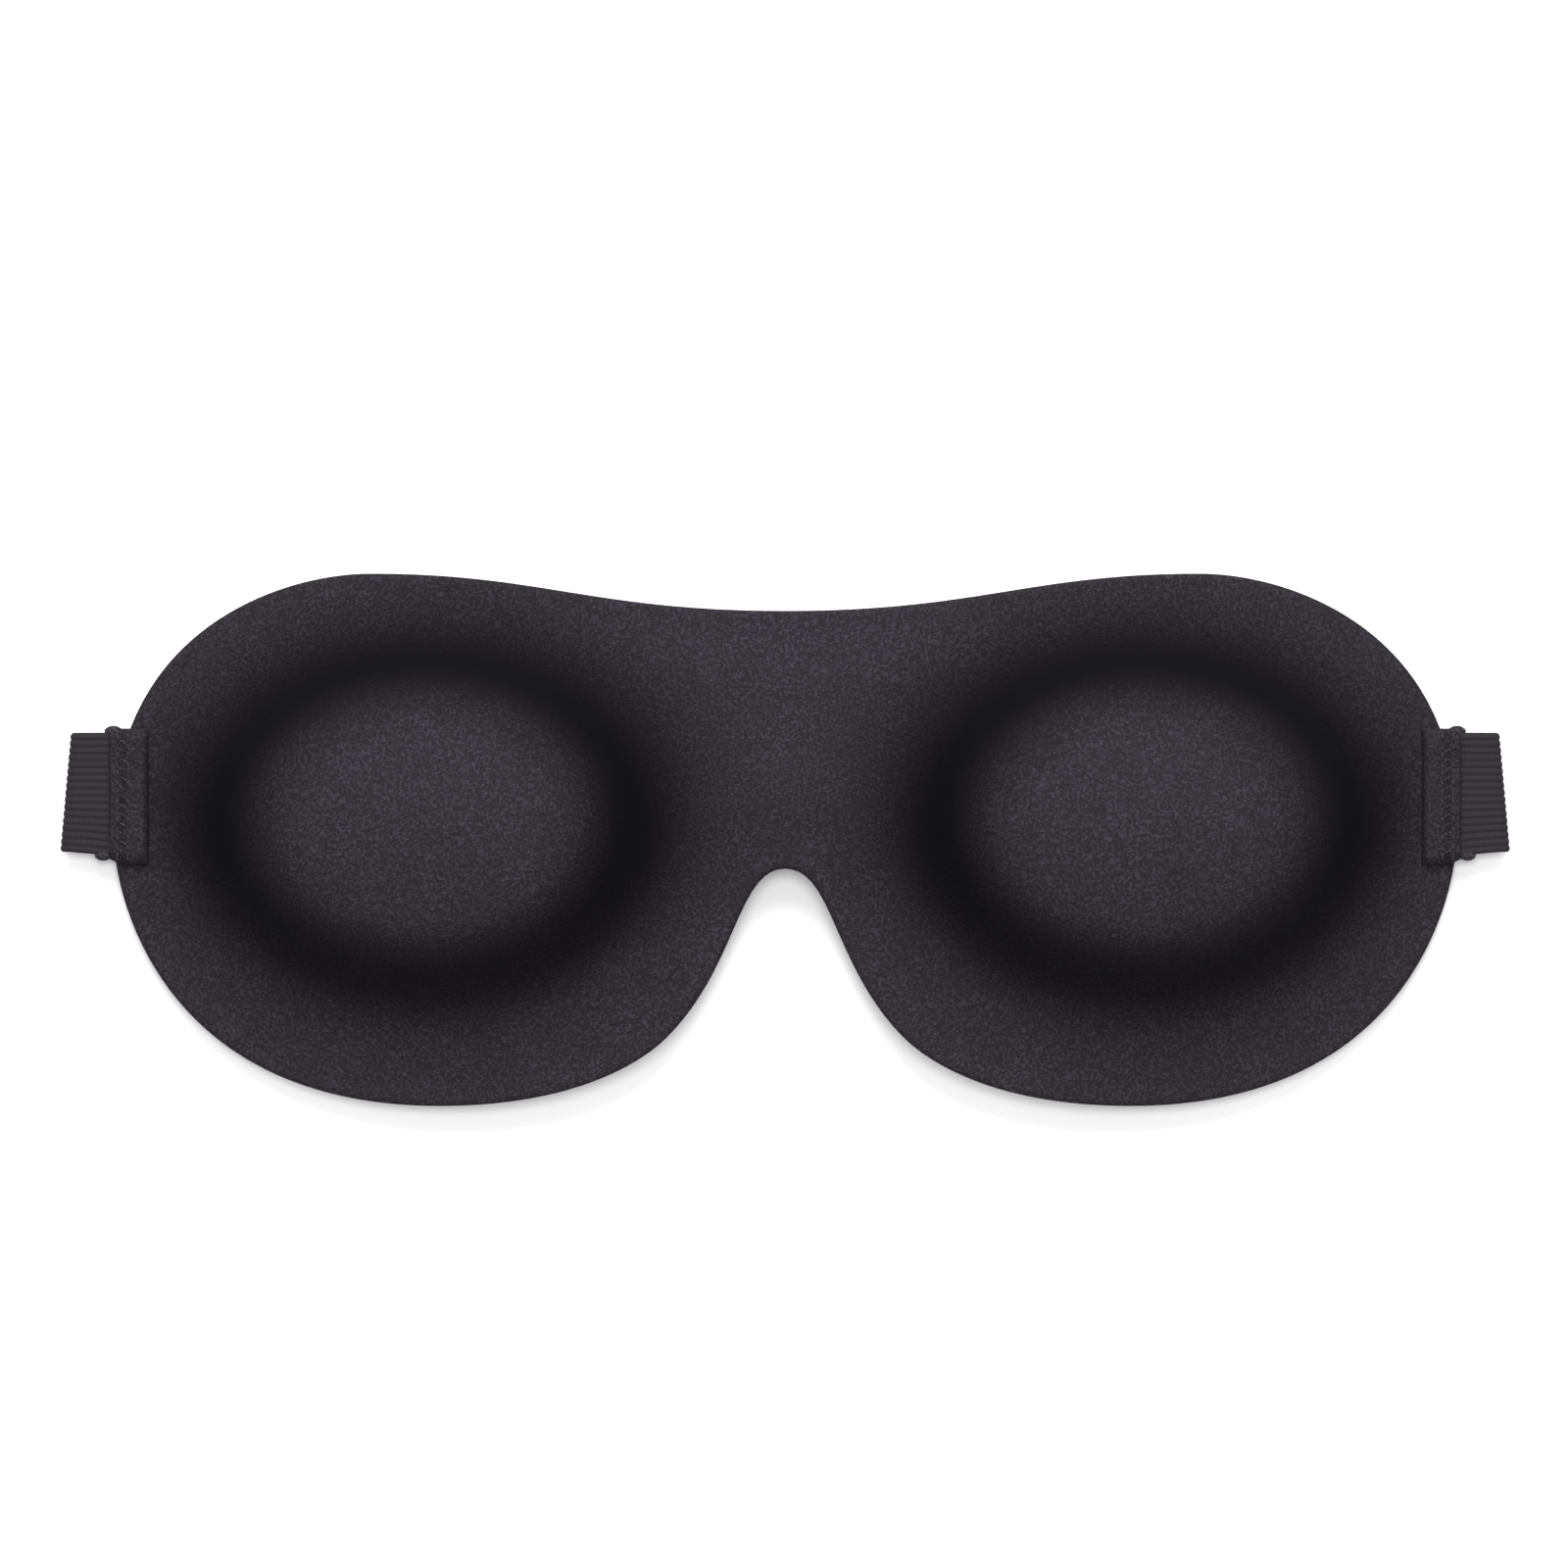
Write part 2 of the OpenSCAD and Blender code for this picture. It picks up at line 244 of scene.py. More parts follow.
@dataclass
class MeshBuffer:
    """Points and faces of one piece, gathered in millimetres."""

    points: list[np.ndarray] = field(default_factory=list)
    faces: list[tuple[int, ...]] = field(default_factory=list)
    count: int = 0

    def add(self, points: np.ndarray, faces: Sequence[Sequence[int]]) -> None:
        """Add a shape.

        Args:
            points: its points, one row each.
            faces: its faces, as rows of those points.
        """
        self.points.append(np.asarray(points, float))
        self.faces.extend(tuple(i + self.count for i in face) for face in faces)
        self.count += len(points)

    def layer(self, x: np.ndarray, y: np.ndarray, low: np.ndarray, high: np.ndarray) -> "MeshBuffer":
        """Add a closed layer between two height fields over one grid.

        Args:
            x: the grid's X, by column and row.
            y: its Y.
            low: the height of the layer's underside.
            high: the height of its top.

        Returns:
            This buffer.
        """
        columns, rows = x.shape
        half = columns * rows
        points = [np.stack([x, y, z], axis=-1).reshape(-1, 3) for z in (low, high)]
        rim = rim_loop(columns, rows)
        wall = [(p, q, q + half, p + half) for p, q in zip(rim, rim[1:] + rim[:1])]
        under = grid_faces(columns, rows, flip=True)
        self.add(np.vstack(points), under + grid_faces(columns, rows, start=half) + wall)
        return self

    def tube(self, line: np.ndarray, radius: float, sides: int = 6) -> None:
        """Add a round tube with closed ends.

        Args:
            line: its centre line, one point a row.
            radius: its radius.
            sides: how many sides it has.
        """
        line = np.asarray(line, float)
        ways = np.gradient(line, axis=0)
        ways /= np.linalg.norm(ways, axis=1)[:, None] + 1e-12
        guide = UP
        if abs(ways @ guide).mean() > 0.8:
            guide = np.array([0.0, 1.0, 0.0])
        across = np.cross(ways, guide)
        across /= np.linalg.norm(across, axis=1)[:, None] + 1e-12
        lift = np.cross(across, ways)
        turn = np.linspace(0.0, 2.0 * math.pi, sides, endpoint=False)
        ring = np.cos(turn)[None, :, None] * across[:, None, :]
        ring = ring + np.sin(turn)[None, :, None] * lift[:, None, :]
        points = (line[:, None, :] + radius * ring).reshape(-1, 3)
        last = (len(line) - 1) * sides
        ends = [tuple(range(sides))[::-1], tuple(range(last, last + sides))]
        self.add(points, sleeve_faces(len(line), sides) + ends)

    def stitch(self, start: np.ndarray, end: np.ndarray, radius: float) -> None:
        """Add one stitch: a short thread that rises out of the cloth and dives back in.

        Args:
            start: where it comes out.
            end: where it goes back in.
            radius: the thread's radius.
        """
        t = np.linspace(0.0, 1.0, 7)[:, None]
        arc = np.sin(math.pi * t) ** 0.5
        self.tube(start + (end - start) * t + UP * radius * (1.3 * arc - 0.9), radius)

    def on_side(self, side: Side) -> "MeshBuffer":
        """Mirror everything in the buffer if it is for the left side.

        Args:
            side: the side that it is for.

        Returns:
            This buffer.
        """
        if side is Side.LEFT:
            self.points = [p * np.array([-1.0, 1.0, 1.0]) for p in self.points]
            self.faces = [f[::-1] for f in self.faces]
        return self

    def make(self, name: str, smooth: bool = True) -> Piece:
        """Make the piece's object.

        Args:
            name: its name.
            smooth: whether its faces are shaded smooth.

        Returns:
            The object, linked to the scene, in metres.
        """
        mesh = bpy.data.meshes.new(name)
        mesh.from_pydata((np.vstack(self.points) * MM).tolist(), [], self.faces)
        mesh.validate()
        mesh.polygons.foreach_set("use_smooth", [smooth] * len(mesh.polygons))
        mesh.update()
        return place_object(name, mesh)


def paint(piece: Piece, material: Material) -> None:
    """Give a piece its material."""
    piece.data.materials.append(material)


def store(piece: Piece, name: str, values: np.ndarray) -> None:
    """Keep one number for each of a piece's points, for its material to read."""
    attribute = piece.data.attributes.new(name, "FLOAT", "POINT")
    attribute.data.foreach_set("value", np.asarray(values, np.float32).ravel())


# ---- finishes ------------------------------------------------------------


@dataclass(frozen=True)
class Finish:
    """What the finishes share: a pattern between two tones, under a fine relief."""

    name: str
    dark: str
    light: str
    roughness: float
    gloss: float
    relief: float
    relief_mm: float
    sheen: float = 0.0

    def pattern(self, tree: Tree) -> tuple[Socket, Socket]:
        """Lay the pattern: what picks the tone, dark at 0, and what raises the surface."""
        raise NotImplementedError

    def shade(self, tree: Tree, tone: Socket) -> Socket:
        """Give the colour, which is the pattern's tone as it is."""
        return tone

    def make(self) -> Material:
        """Build the material.

        Returns:
            The material.
        """
        material = bpy.data.materials.new(self.name)
        material.use_nodes = True
        tree = material.node_tree
        tree.nodes.clear()
        pick, height = self.pattern(tree)
        tone = add_node(
            tree, "ShaderNodeMix",
            {"data_type": "RGBA", MIX_A: linear(self.dark), MIX_B: linear(self.light)},
            {MIX_FACTOR: pick},
        ).outputs[MIX_RESULT]
        bump = add_node(
            tree, "ShaderNodeBump",
            {"Strength": self.relief, "Distance": self.relief_mm * MM},
            {"Height": height},
        ).outputs["Normal"]
        shader = add_node(
            tree, "ShaderNodeBsdfPrincipled",
            {
                "Roughness": self.roughness, "Specular IOR Level": self.gloss,
                "Sheen Weight": self.sheen,
            },
            {"Base Color": self.shade(tree, tone), "Normal": bump},
        ).outputs[0]
        add_node(tree, "ShaderNodeOutputMaterial", links={"Surface": shader})
        return material


@dataclass(frozen=True)
class BrushedKnit(Finish):
    """Warp-knitted polyester, dyed charcoal, brushed and heat-moulded.

    The raised fibre ends catch the light as fine speckle. Its colour also carries painted shade:
    a dark ring round each cup's wall, and a dark line along each tab's stitched groove.
    """

    name: str = "brushed_polyester_knit"
    dark: str = "#221f23"
    light: str = "#363138"
    # painted shade: the colour that the cups' walls and the tabs' groove are darkened towards
    wall: str = "#09080a"
    roughness: float = 0.95
    gloss: float = 0.04
    relief: float = 0.6
    relief_mm: float = 0.16
    # the real fibre ends are finer, and this is as fine as shows
    speckle_mm: float = 0.5
    mottle_mm: float = 9.0
    # the stretch of the noise over which the ground gives way to raised fibre
    bare: float = 0.44
    full: float = 0.74
    # how far the mottle lowers and raises the speckle
    calm: float = 0.8
    lively: float = 1.2

    def pattern(self, tree: Tree) -> tuple[Socket, Socket]:
        """Scatter the fibre ends, more in some places than in others.

        Args:
            tree: the material's nodes.

        Returns:
            The share of raised fibre, and the height.
        """
        place = add_node(tree, "ShaderNodeTexCoord").outputs["Object"]
        speckle = add_node(
            tree, "ShaderNodeTexNoise",
            {"Scale": per_mm(self.speckle_mm), "Detail": 1.0, "Roughness": 0.6},
            {"Vector": place},
        ).outputs["Fac"]
        mottle = add_node(
            tree, "ShaderNodeTexNoise",
            {"Scale": per_mm(self.mottle_mm), "Detail": 2.0},
            {"Vector": place},
        ).outputs["Fac"]
        raised = add_node(
            tree, "ShaderNodeMapRange",
            {"From Min": self.bare, "From Max": self.full, "To Min": 0.0, "To Max": 1.0},
            {"Value": speckle},
        ).outputs["Result"]
        vigour = add_node(
            tree, "ShaderNodeMapRange",
            {"From Min": 0.3, "From Max": 0.7, "To Min": self.calm, "To Max": self.lively},
            {"Value": mottle},
        ).outputs["Result"]
        share = add_node(
            tree, "ShaderNodeMath", {"operation": "MULTIPLY"}, {0: raised, 1: vigour}
        ).outputs[0]
        return share, speckle

    def shade(self, tree: Tree, tone: Socket) -> Socket:
        """Darken the cloth with painted shade round the cups' walls and along the tabs' groove, and
        with the tabs' pressed pile.

        Args:
            tree: the material's nodes.
            tone: the cloth's own colour.

        Returns:
            The colour.
        """
        # painted shade: its share, stored on each piece's points
        painted_shade = add_node(
            tree, "ShaderNodeAttribute", {"attribute_name": "wall"}
        ).outputs["Fac"]
        return add_node(
            tree, "ShaderNodeMix",
            {"data_type": "RGBA", MIX_B: linear(self.wall)},
            {MIX_FACTOR: painted_shade, MIX_A: tone},
        ).outputs[MIX_RESULT]


@dataclass(frozen=True)
class TricotLining(Finish):
    """Smooth black tricot, laminated to the foam.

    Its fine vertical wales give a faint silky line pattern on the wearer's side.
    """

    name: str = "smooth_tricot_lining"
    dark: str = "#121013"
    light: str = "#232024"
    roughness: float = 0.7
    gloss: float = 0.25
    relief: float = 0.35
    relief_mm: float = 0.1
    sheen: float = 0.08
    grain_mm: float = 0.5
    # the real wales are 0.5 mm apart, and this is as fine as shows
    wale_mm: float = 0.9

    def pattern(self, tree: Tree) -> tuple[Socket, Socket]:
        """Run the wales up the cloth and break them with the yarn's grain.

        Args:
            tree: the material's nodes.

        Returns:
            The share of thread over gap, twice: it is the height too.
        """
        place = add_node(tree, "ShaderNodeTexCoord").outputs["Object"]
        wales = add_node(
            tree, "ShaderNodeTexWave",
            {
                "wave_type": "BANDS", "bands_direction": "X", "wave_profile": "SIN",
                "Scale": wave_scale(self.wale_mm),
                "Distortion": 0.6, "Detail": 1.0, "Detail Scale": 4.0,
            },
            {"Vector": place},
        ).outputs["Fac"]
        grain = add_node(
            tree, "ShaderNodeTexNoise",
            {"Scale": per_mm(self.grain_mm), "Detail": 2.0},
            {"Vector": place},
        ).outputs["Fac"]
        share = add_node(
            tree, "ShaderNodeMath", {"operation": "MULTIPLY"}, {0: wales, 1: grain}
        ).outputs[0]
        return share, share


@dataclass(frozen=True)
class MouldedFoam(Finish):
    """Dark grey polyurethane foam, cut at the rim, where its open cells show as pits."""

    name: str = "moulded_polyurethane_foam"
    dark: str = "#0c0b0c"
    light: str = "#2b292c"
    roughness: float = 0.95
    gloss: float = 0.1
    relief: float = 0.8
    relief_mm: float = 0.15
    cell_mm: float = 0.45

    def pattern(self, tree: Tree) -> tuple[Socket, Socket]:
        """Pack the foam with cells, dark and low in their middles.

        Args:
            tree: the material's nodes.

        Returns:
            The distance from a cell's middle, twice: it is the height too.
        """
        place = add_node(tree, "ShaderNodeTexCoord").outputs["Object"]
        cells = add_node(
            tree, "ShaderNodeTexVoronoi", {"Scale": per_mm(self.cell_mm)}, {"Vector": place}
        ).outputs["Distance"]
        return cells, cells


@dataclass(frozen=True)
class RibbedElastic(Finish):
    """Knitted elastic of black polyester over rubber strands.

    Each rib is a covered strand. The cover's small stitches cross it, so a rib looks like a
    fine cord, matt, with shadow in the grooves.
    """

    name: str = "knitted_ribbed_elastic"
    dark: str = "#1f1c20"
    light: str = "#2b272c"
    roughness: float = 0.9
    gloss: float = 0.08
    relief: float = 0.5
    relief_mm: float = 0.12
    rib_mm: float = 1.19
    # the real cover stitches are 0.5 mm apart, and this is as fine as shows
    stitch_mm: float = 0.75
    # how light the dip between two stitches is, against their crowns
    dip: float = 0.75

    def pattern(self, tree: Tree) -> tuple[Socket, Socket]:
        """Cross each rib with stitches, a little later on each next rib.

        Args:
            tree: the material's nodes.

        Returns:
            The share of crown over groove, and the stitches' height.
        """
        rib, along, across = (
            add_node(tree, "ShaderNodeAttribute", {"attribute_name": name}).outputs["Fac"]
            for name in ("rib", "along_mm", "across_mm")
        )
        lane = add_node(
            tree, "ShaderNodeMath", {"operation": "DIVIDE", 1: self.rib_mm}, {0: across}
        ).outputs[0]
        step = add_node(
            tree, "ShaderNodeMath",
            {"operation": "MULTIPLY_ADD", 1: 2.0 * math.pi / self.stitch_mm},
            {0: along, 2: lane},
        ).outputs[0]
        beat = add_node(
            tree, "ShaderNodeMath", {"operation": "SINE"}, {0: step}
        ).outputs[0]
        stitch = add_node(
            tree, "ShaderNodeMapRange",
            {"From Min": -1.0, "From Max": 1.0, "To Min": self.dip, "To Max": 1.0},
            {"Value": beat},
        ).outputs["Result"]
        # painted shade: the colour darkens into the grooves between ribs and the dips between
        # stitches
        share = add_node(
            tree, "ShaderNodeMath", {"operation": "MULTIPLY"}, {0: rib, 1: stitch}
        ).outputs[0]
        return share, stitch


@dataclass(frozen=True)
class SpunThread(Finish):
    """Spun polyester sewing thread, close to the cloth's own tone, with its twist showing."""

    name: str = "spun_polyester_thread"
    dark: str = "#171419"
    light: str = "#343037"
    roughness: float = 0.7
    gloss: float = 0.2
    relief: float = 0.4
    relief_mm: float = 0.06
    twist_mm: float = 0.5

    def pattern(self, tree: Tree) -> tuple[Socket, Socket]:
        """Wind the plies round the thread.

        Args:
            tree: the material's nodes.

        Returns:
            The share of ply over groove, twice: it is the height too.
        """
        place = add_node(tree, "ShaderNodeTexCoord").outputs["Object"]
        twist = add_node(
            tree, "ShaderNodeTexWave",
            {
                "wave_type": "BANDS", "bands_direction": "DIAGONAL",
                "Scale": wave_scale(self.twist_mm), "Distortion": 1.0,
            },
            {"Vector": place},
        ).outputs["Fac"]
        return twist, twist


@dataclass(frozen=True)
class NylonTape(Finish):
    """Black nylon closure tape: a woven ground that carries hooks or loops, a little glossy."""

    gloss: float = 0.2
    relief: float = 0.5
    relief_mm: float = 0.1
    yarn_mm: float = 0.35

    def pattern(self, tree: Tree) -> tuple[Socket, Socket]:
        """Mottle the tape with its yarns.

        Args:
            tree: the material's nodes.

        Returns:
            The share of yarn over shadow, twice: it is the height too.
        """
        place = add_node(tree, "ShaderNodeTexCoord").outputs["Object"]
        yarns = add_node(
            tree, "ShaderNodeTexNoise",
            {"Scale": per_mm(self.yarn_mm), "Detail": 3.0, "Roughness": 0.65},
            {"Vector": place},
        ).outputs["Fac"]
        return yarns, yarns


@dataclass(frozen=True)
class PaintedTable:
    """Matt white painted board, plain and pale."""

    name: str = "matt_white_board"
    white: str = "#f7f7f7"
    roughness: float = 0.9
    gloss: float = 0.1

    def make(self) -> Material:
        """Build the material.

        Returns:
            The material.
        """
        material = bpy.data.materials.new(self.name)
        material.use_nodes = True
        tree = material.node_tree
        tree.nodes.clear()
        shader = add_node(
            tree, "ShaderNodeBsdfPrincipled",
            {
                "Base Color": linear(self.white), "Roughness": self.roughness,
                "Specular IOR Level": self.gloss,
            },
        ).outputs[0]
        add_node(tree, "ShaderNodeOutputMaterial", links={"Surface": shader})
        return material


# ---- the pad -------------------------------------------------------------


@dataclass(frozen=True)
class PadOutline:
    """The pad's outline: a top and a bottom edge of smooth curves, the same on both sides."""

    half_width: float
    brow_peak_y: float
    cheek_y: float
    brow_mid_y: float = 38.6
    brow_peak_x: float = 70.3
    side_y: float = 2.0
    cheek_x: float = 58.7
    notch_y: float = -4.9
    nose_corner: tuple[float, float] = (19.8, -33.2)
    # how far each curve's handles reach from the points above
    brow_mid_reach: float = 32.6
    brow_peak_reach: float = 29.0
    temple_reach: tuple[float, float] = (15.0, 33.6)
    notch_reach: float = 8.1
    nose_in_reach: tuple[float, float] = (-12.0, 12.2)
    nose_out_reach: tuple[float, float] = (3.3, -3.4)
    lobe_reach: float = 24.6
    jowl_reach: tuple[float, float] = (45.0, 14.6)
    fine: int = 240

    def curve(self, *handles: tuple[float, float]) -> np.ndarray:
        """Lay points along a cubic curve.

        Args:
            handles: its two ends, with its two handles between them.

        Returns:
            The points, one a row.
        """
        p = np.array(handles, float)
        t = np.linspace(0.0, 1.0, self.fine)[:, None]
        s = 1.0 - t
        return s**3 * p[0] + 3 * s * s * t * p[1] + 3 * s * t * t * p[2] + t**3 * p[3]

    def upper(self) -> np.ndarray:
        """Draw the top edge.

        Returns:
            Its points, from the middle to the side.
        """
        x, y = self.brow_peak_x, self.brow_peak_y
        along, up = self.temple_reach
        brow = self.curve(
            (0.0, self.brow_mid_y), (self.brow_mid_reach, self.brow_mid_y),
            (x - self.brow_peak_reach, y), (x, y),
        )
        temple = self.curve(
            (x, y), (x + along, y),
            (self.half_width, self.side_y + up), (self.half_width, self.side_y),
        )
        return np.vstack([brow, temple[1:]])

    def lower(self) -> np.ndarray:
        """Draw the bottom edge.

        Returns:
            Its points, from the nose notch to the side.
        """
        corner = np.array(self.nose_corner)
        x, y = self.cheek_x, self.cheek_y
        along, down = self.jowl_reach
        notch = self.curve(
            (0.0, self.notch_y), (self.notch_reach, self.notch_y),
            tuple(corner + self.nose_in_reach), tuple(corner),
        )
        lobe = self.curve(
            tuple(corner), tuple(corner + self.nose_out_reach), (x - self.lobe_reach, y), (x, y)
        )
        jowl = self.curve(
            (x, y), (x + along, y),
            (self.half_width, self.side_y - down), (self.half_width, self.side_y),
        )
        return np.vstack([notch, lobe[1:], jowl[1:]])

    def loop(self) -> np.ndarray:
        """Draw the whole outline.

        Returns:
            Its points, anticlockwise.
        """
        mirror = np.array([-1.0, 1.0])
        upper, lower = self.upper(), self.lower()
        return np.vstack([lower, upper[::-1], upper * mirror, (lower * mirror)[::-1]])

    def flat_cut(self) -> tuple[tuple[float, float], float]:
        """Give the size and area of cloth inside the outline.

        Returns:
            Height and width in metres, and the area in square metres.
        """
        x, y = self.loop().T * MM
        area = abs(np.dot(x, np.roll(y, -1)) - np.dot(y, np.roll(x, -1))) / 2
        return (float(np.ptp(y)), float(np.ptp(x))), float(area)


@dataclass(frozen=True)
class PadForm:
    """The pad's moulded form: a gentle arch, a swelling rim and two domed cups."""

    outline: PadOutline
    end_lift: float
    tab_low_y: float
    tab_high_y: float
    arch_rise: float = 6.0
    arch_end_x: float = 107.5
    arch_power: float = 1.3
    pad_t: float = 3.8
    rim_t: float = 1.9
    cover_t: float = 0.5
    # the most of the pad's thickness that each cloth takes at the rim
    cover_share: float = 0.35
    lining_share: float = 0.3
    swell_w: float = 14.0
    # the band that is pressed flat round a tab, and how much faster the pad swells beside it
    pressed_gap: float = 0.6
    pressed_gain: float = 1.5
    cup_x: float = 60.2
    cup_y: float = 3.3
    cup_a: float = 34.2
    cup_b: float = 26.2
    cup_rise: float = 15.0
    crown_rise: float = 5.0
    wall_w: float = 13.0
    wall_inset: float = 3.0
    cup_mean_r: float = 30.0
    # how far the painted shade reaches inside and outside a cup's edge, and how much lighter it is
    # painted at the bottom
    shade_in_w: float = 8.2
    shade_out_w: float = 12.0
    lower_shade_lift: float = 0.2
    # the rim's rounding in front and behind: how far in it starts and how far it falls
    front_round: tuple[float, float] = (1.3, 0.9)
    back_round: tuple[float, float] = (0.6, 0.4)

    def arch(self, x: np.ndarray) -> np.ndarray:
        """Give the height of the pad's back above its ends."""
        return self.arch_rise * np.maximum(0.0, 1.0 - (x / self.arch_end_x) ** 2) ** self.arch_power

    @staticmethod
    def s_curve(t: np.ndarray) -> np.ndarray:
        """Fall from 1 to 0 as t goes from -1 to 1, flat at both ends.

        Args:
            t: the place along the fall.

        Returns:
            The height there.
        """
        s = np.clip(t, -1.0, 1.0)
        q = s * s
        total = 1 - q * 4 / 3 + q**2 * 6 / 5 - q**3 * 4 / 7 + q**4 / 9
        return 0.5 - 0.5 * s * total * 315 / 128

    def cup(self, x: np.ndarray, y: np.ndarray, inset: float) -> np.ndarray:
        """Give the height of the cups.

        Args:
            x: X of each point.
            y: Y of each point.
            inset: how much smaller the ring is than the front's, for the cavity.

        Returns:
            The height at each point.
        """
        a, b = self.cup_a - inset, self.cup_b - inset
        r = np.hypot((np.abs(x) - self.cup_x) / a, (y - self.cup_y) / b)
        wall = self.s_curve((r - 1.0) * self.cup_mean_r / self.wall_w)
        return self.cup_rise * wall + self.crown_rise * np.maximum(0.0, 1.0 - r * r) ** 2

    def painted_shade(self, x: np.ndarray, y: np.ndarray) -> np.ndarray:
        """Give the painted shade round each cup's wall, painted lighter at the bottom.

        Args:
            x: X of each point.
            y: Y of each point.

        Returns:
            From 0 on the flat to 1 on a cup's wall.
        """
        rise = (y - self.cup_y) / self.cup_b
        r = np.hypot((np.abs(x) - self.cup_x) / self.cup_a, rise)
        wide = np.where(r > 1.0, self.shade_out_w, self.shade_in_w)
        shade_strength = 1.0 - self.lower_shade_lift * smooth_step(-rise)
        return shade_strength * np.exp(-(((r - 1.0) * self.cup_mean_r / wide) ** 2))

    def steep(self, x: np.ndarray, y: np.ndarray, inset: float) -> np.ndarray:
        """Give how much longer a thickness is when it is measured straight down the slope.

        Args:
            x: X of each point.
            y: Y of each point.
            inset: as in cup().

        Returns:
            The factor at each point, 1 on the flat.
        """
        h = 0.05
        gx = (self.cup(x + h, y, inset) - self.cup(x - h, y, inset)) / (2 * h)
        gy = (self.cup(x, y + h, inset) - self.cup(x, y - h, inset)) / (2 * h)
        return np.sqrt(gx * gx + gy * gy + 1.0)

    def thick(self, x: np.ndarray, y: np.ndarray, edge: np.ndarray) -> np.ndarray:
        """Give the pad's thickness, pressed thin at the rim and under each side tab.

        Args:
            x: X of each point.
            y: Y of each point.
            edge: its distance from the outline.

        Returns:
            The thickness at each point.
        """
        gap = self.pressed_gap
        beside = np.maximum(0.0, self.arch_end_x - np.abs(x))
        above = np.maximum(0.0, np.maximum(self.tab_low_y - gap - y, y - self.tab_high_y - gap))
        tab = self.pressed_gain * np.hypot(beside, above)
        swell = smooth_step(np.minimum(edge, tab) / self.swell_w)
        return self.rim_t + (self.pad_t - self.rim_t) * swell

    @staticmethod
    def rounding(edge: np.ndarray, radius: float, drop: float) -> np.ndarray:
        """Give how far a surface falls at the rim, along a quarter of an ellipse."""
        t = 1.0 - np.clip(edge / radius, 0.0, 1.0)
        return drop * (1.0 - np.sqrt(np.maximum(0.0, 1.0 - t * t)))

    def surfaces(self, x: np.ndarray, y: np.ndarray, edge: np.ndarray) -> list[np.ndarray]:
        """Give the four surfaces, from the lining's back to the cover's front.

        Args:
            x: X of each point.
            y: Y of each point.
            edge: its distance from the outline.

        Returns:
            The heights of the four surfaces.
        """
        inset = self.wall_inset
        base = self.end_lift + self.arch(x)
        back = base + self.cup(x, y, inset) + self.rounding(edge, *self.back_round)
        front = base + self.thick(x, y, edge) + self.cup(x, y, 0.0)
        front = front - self.rounding(edge, *self.front_round)
        depth = front - back
        lining = np.minimum(self.cover_t * self.steep(x, y, inset), self.lining_share * depth)
        cover = np.minimum(self.cover_t * self.steep(x, y, 0.0), self.cover_share * depth)
        return [back, back + lining, front - cover, front]


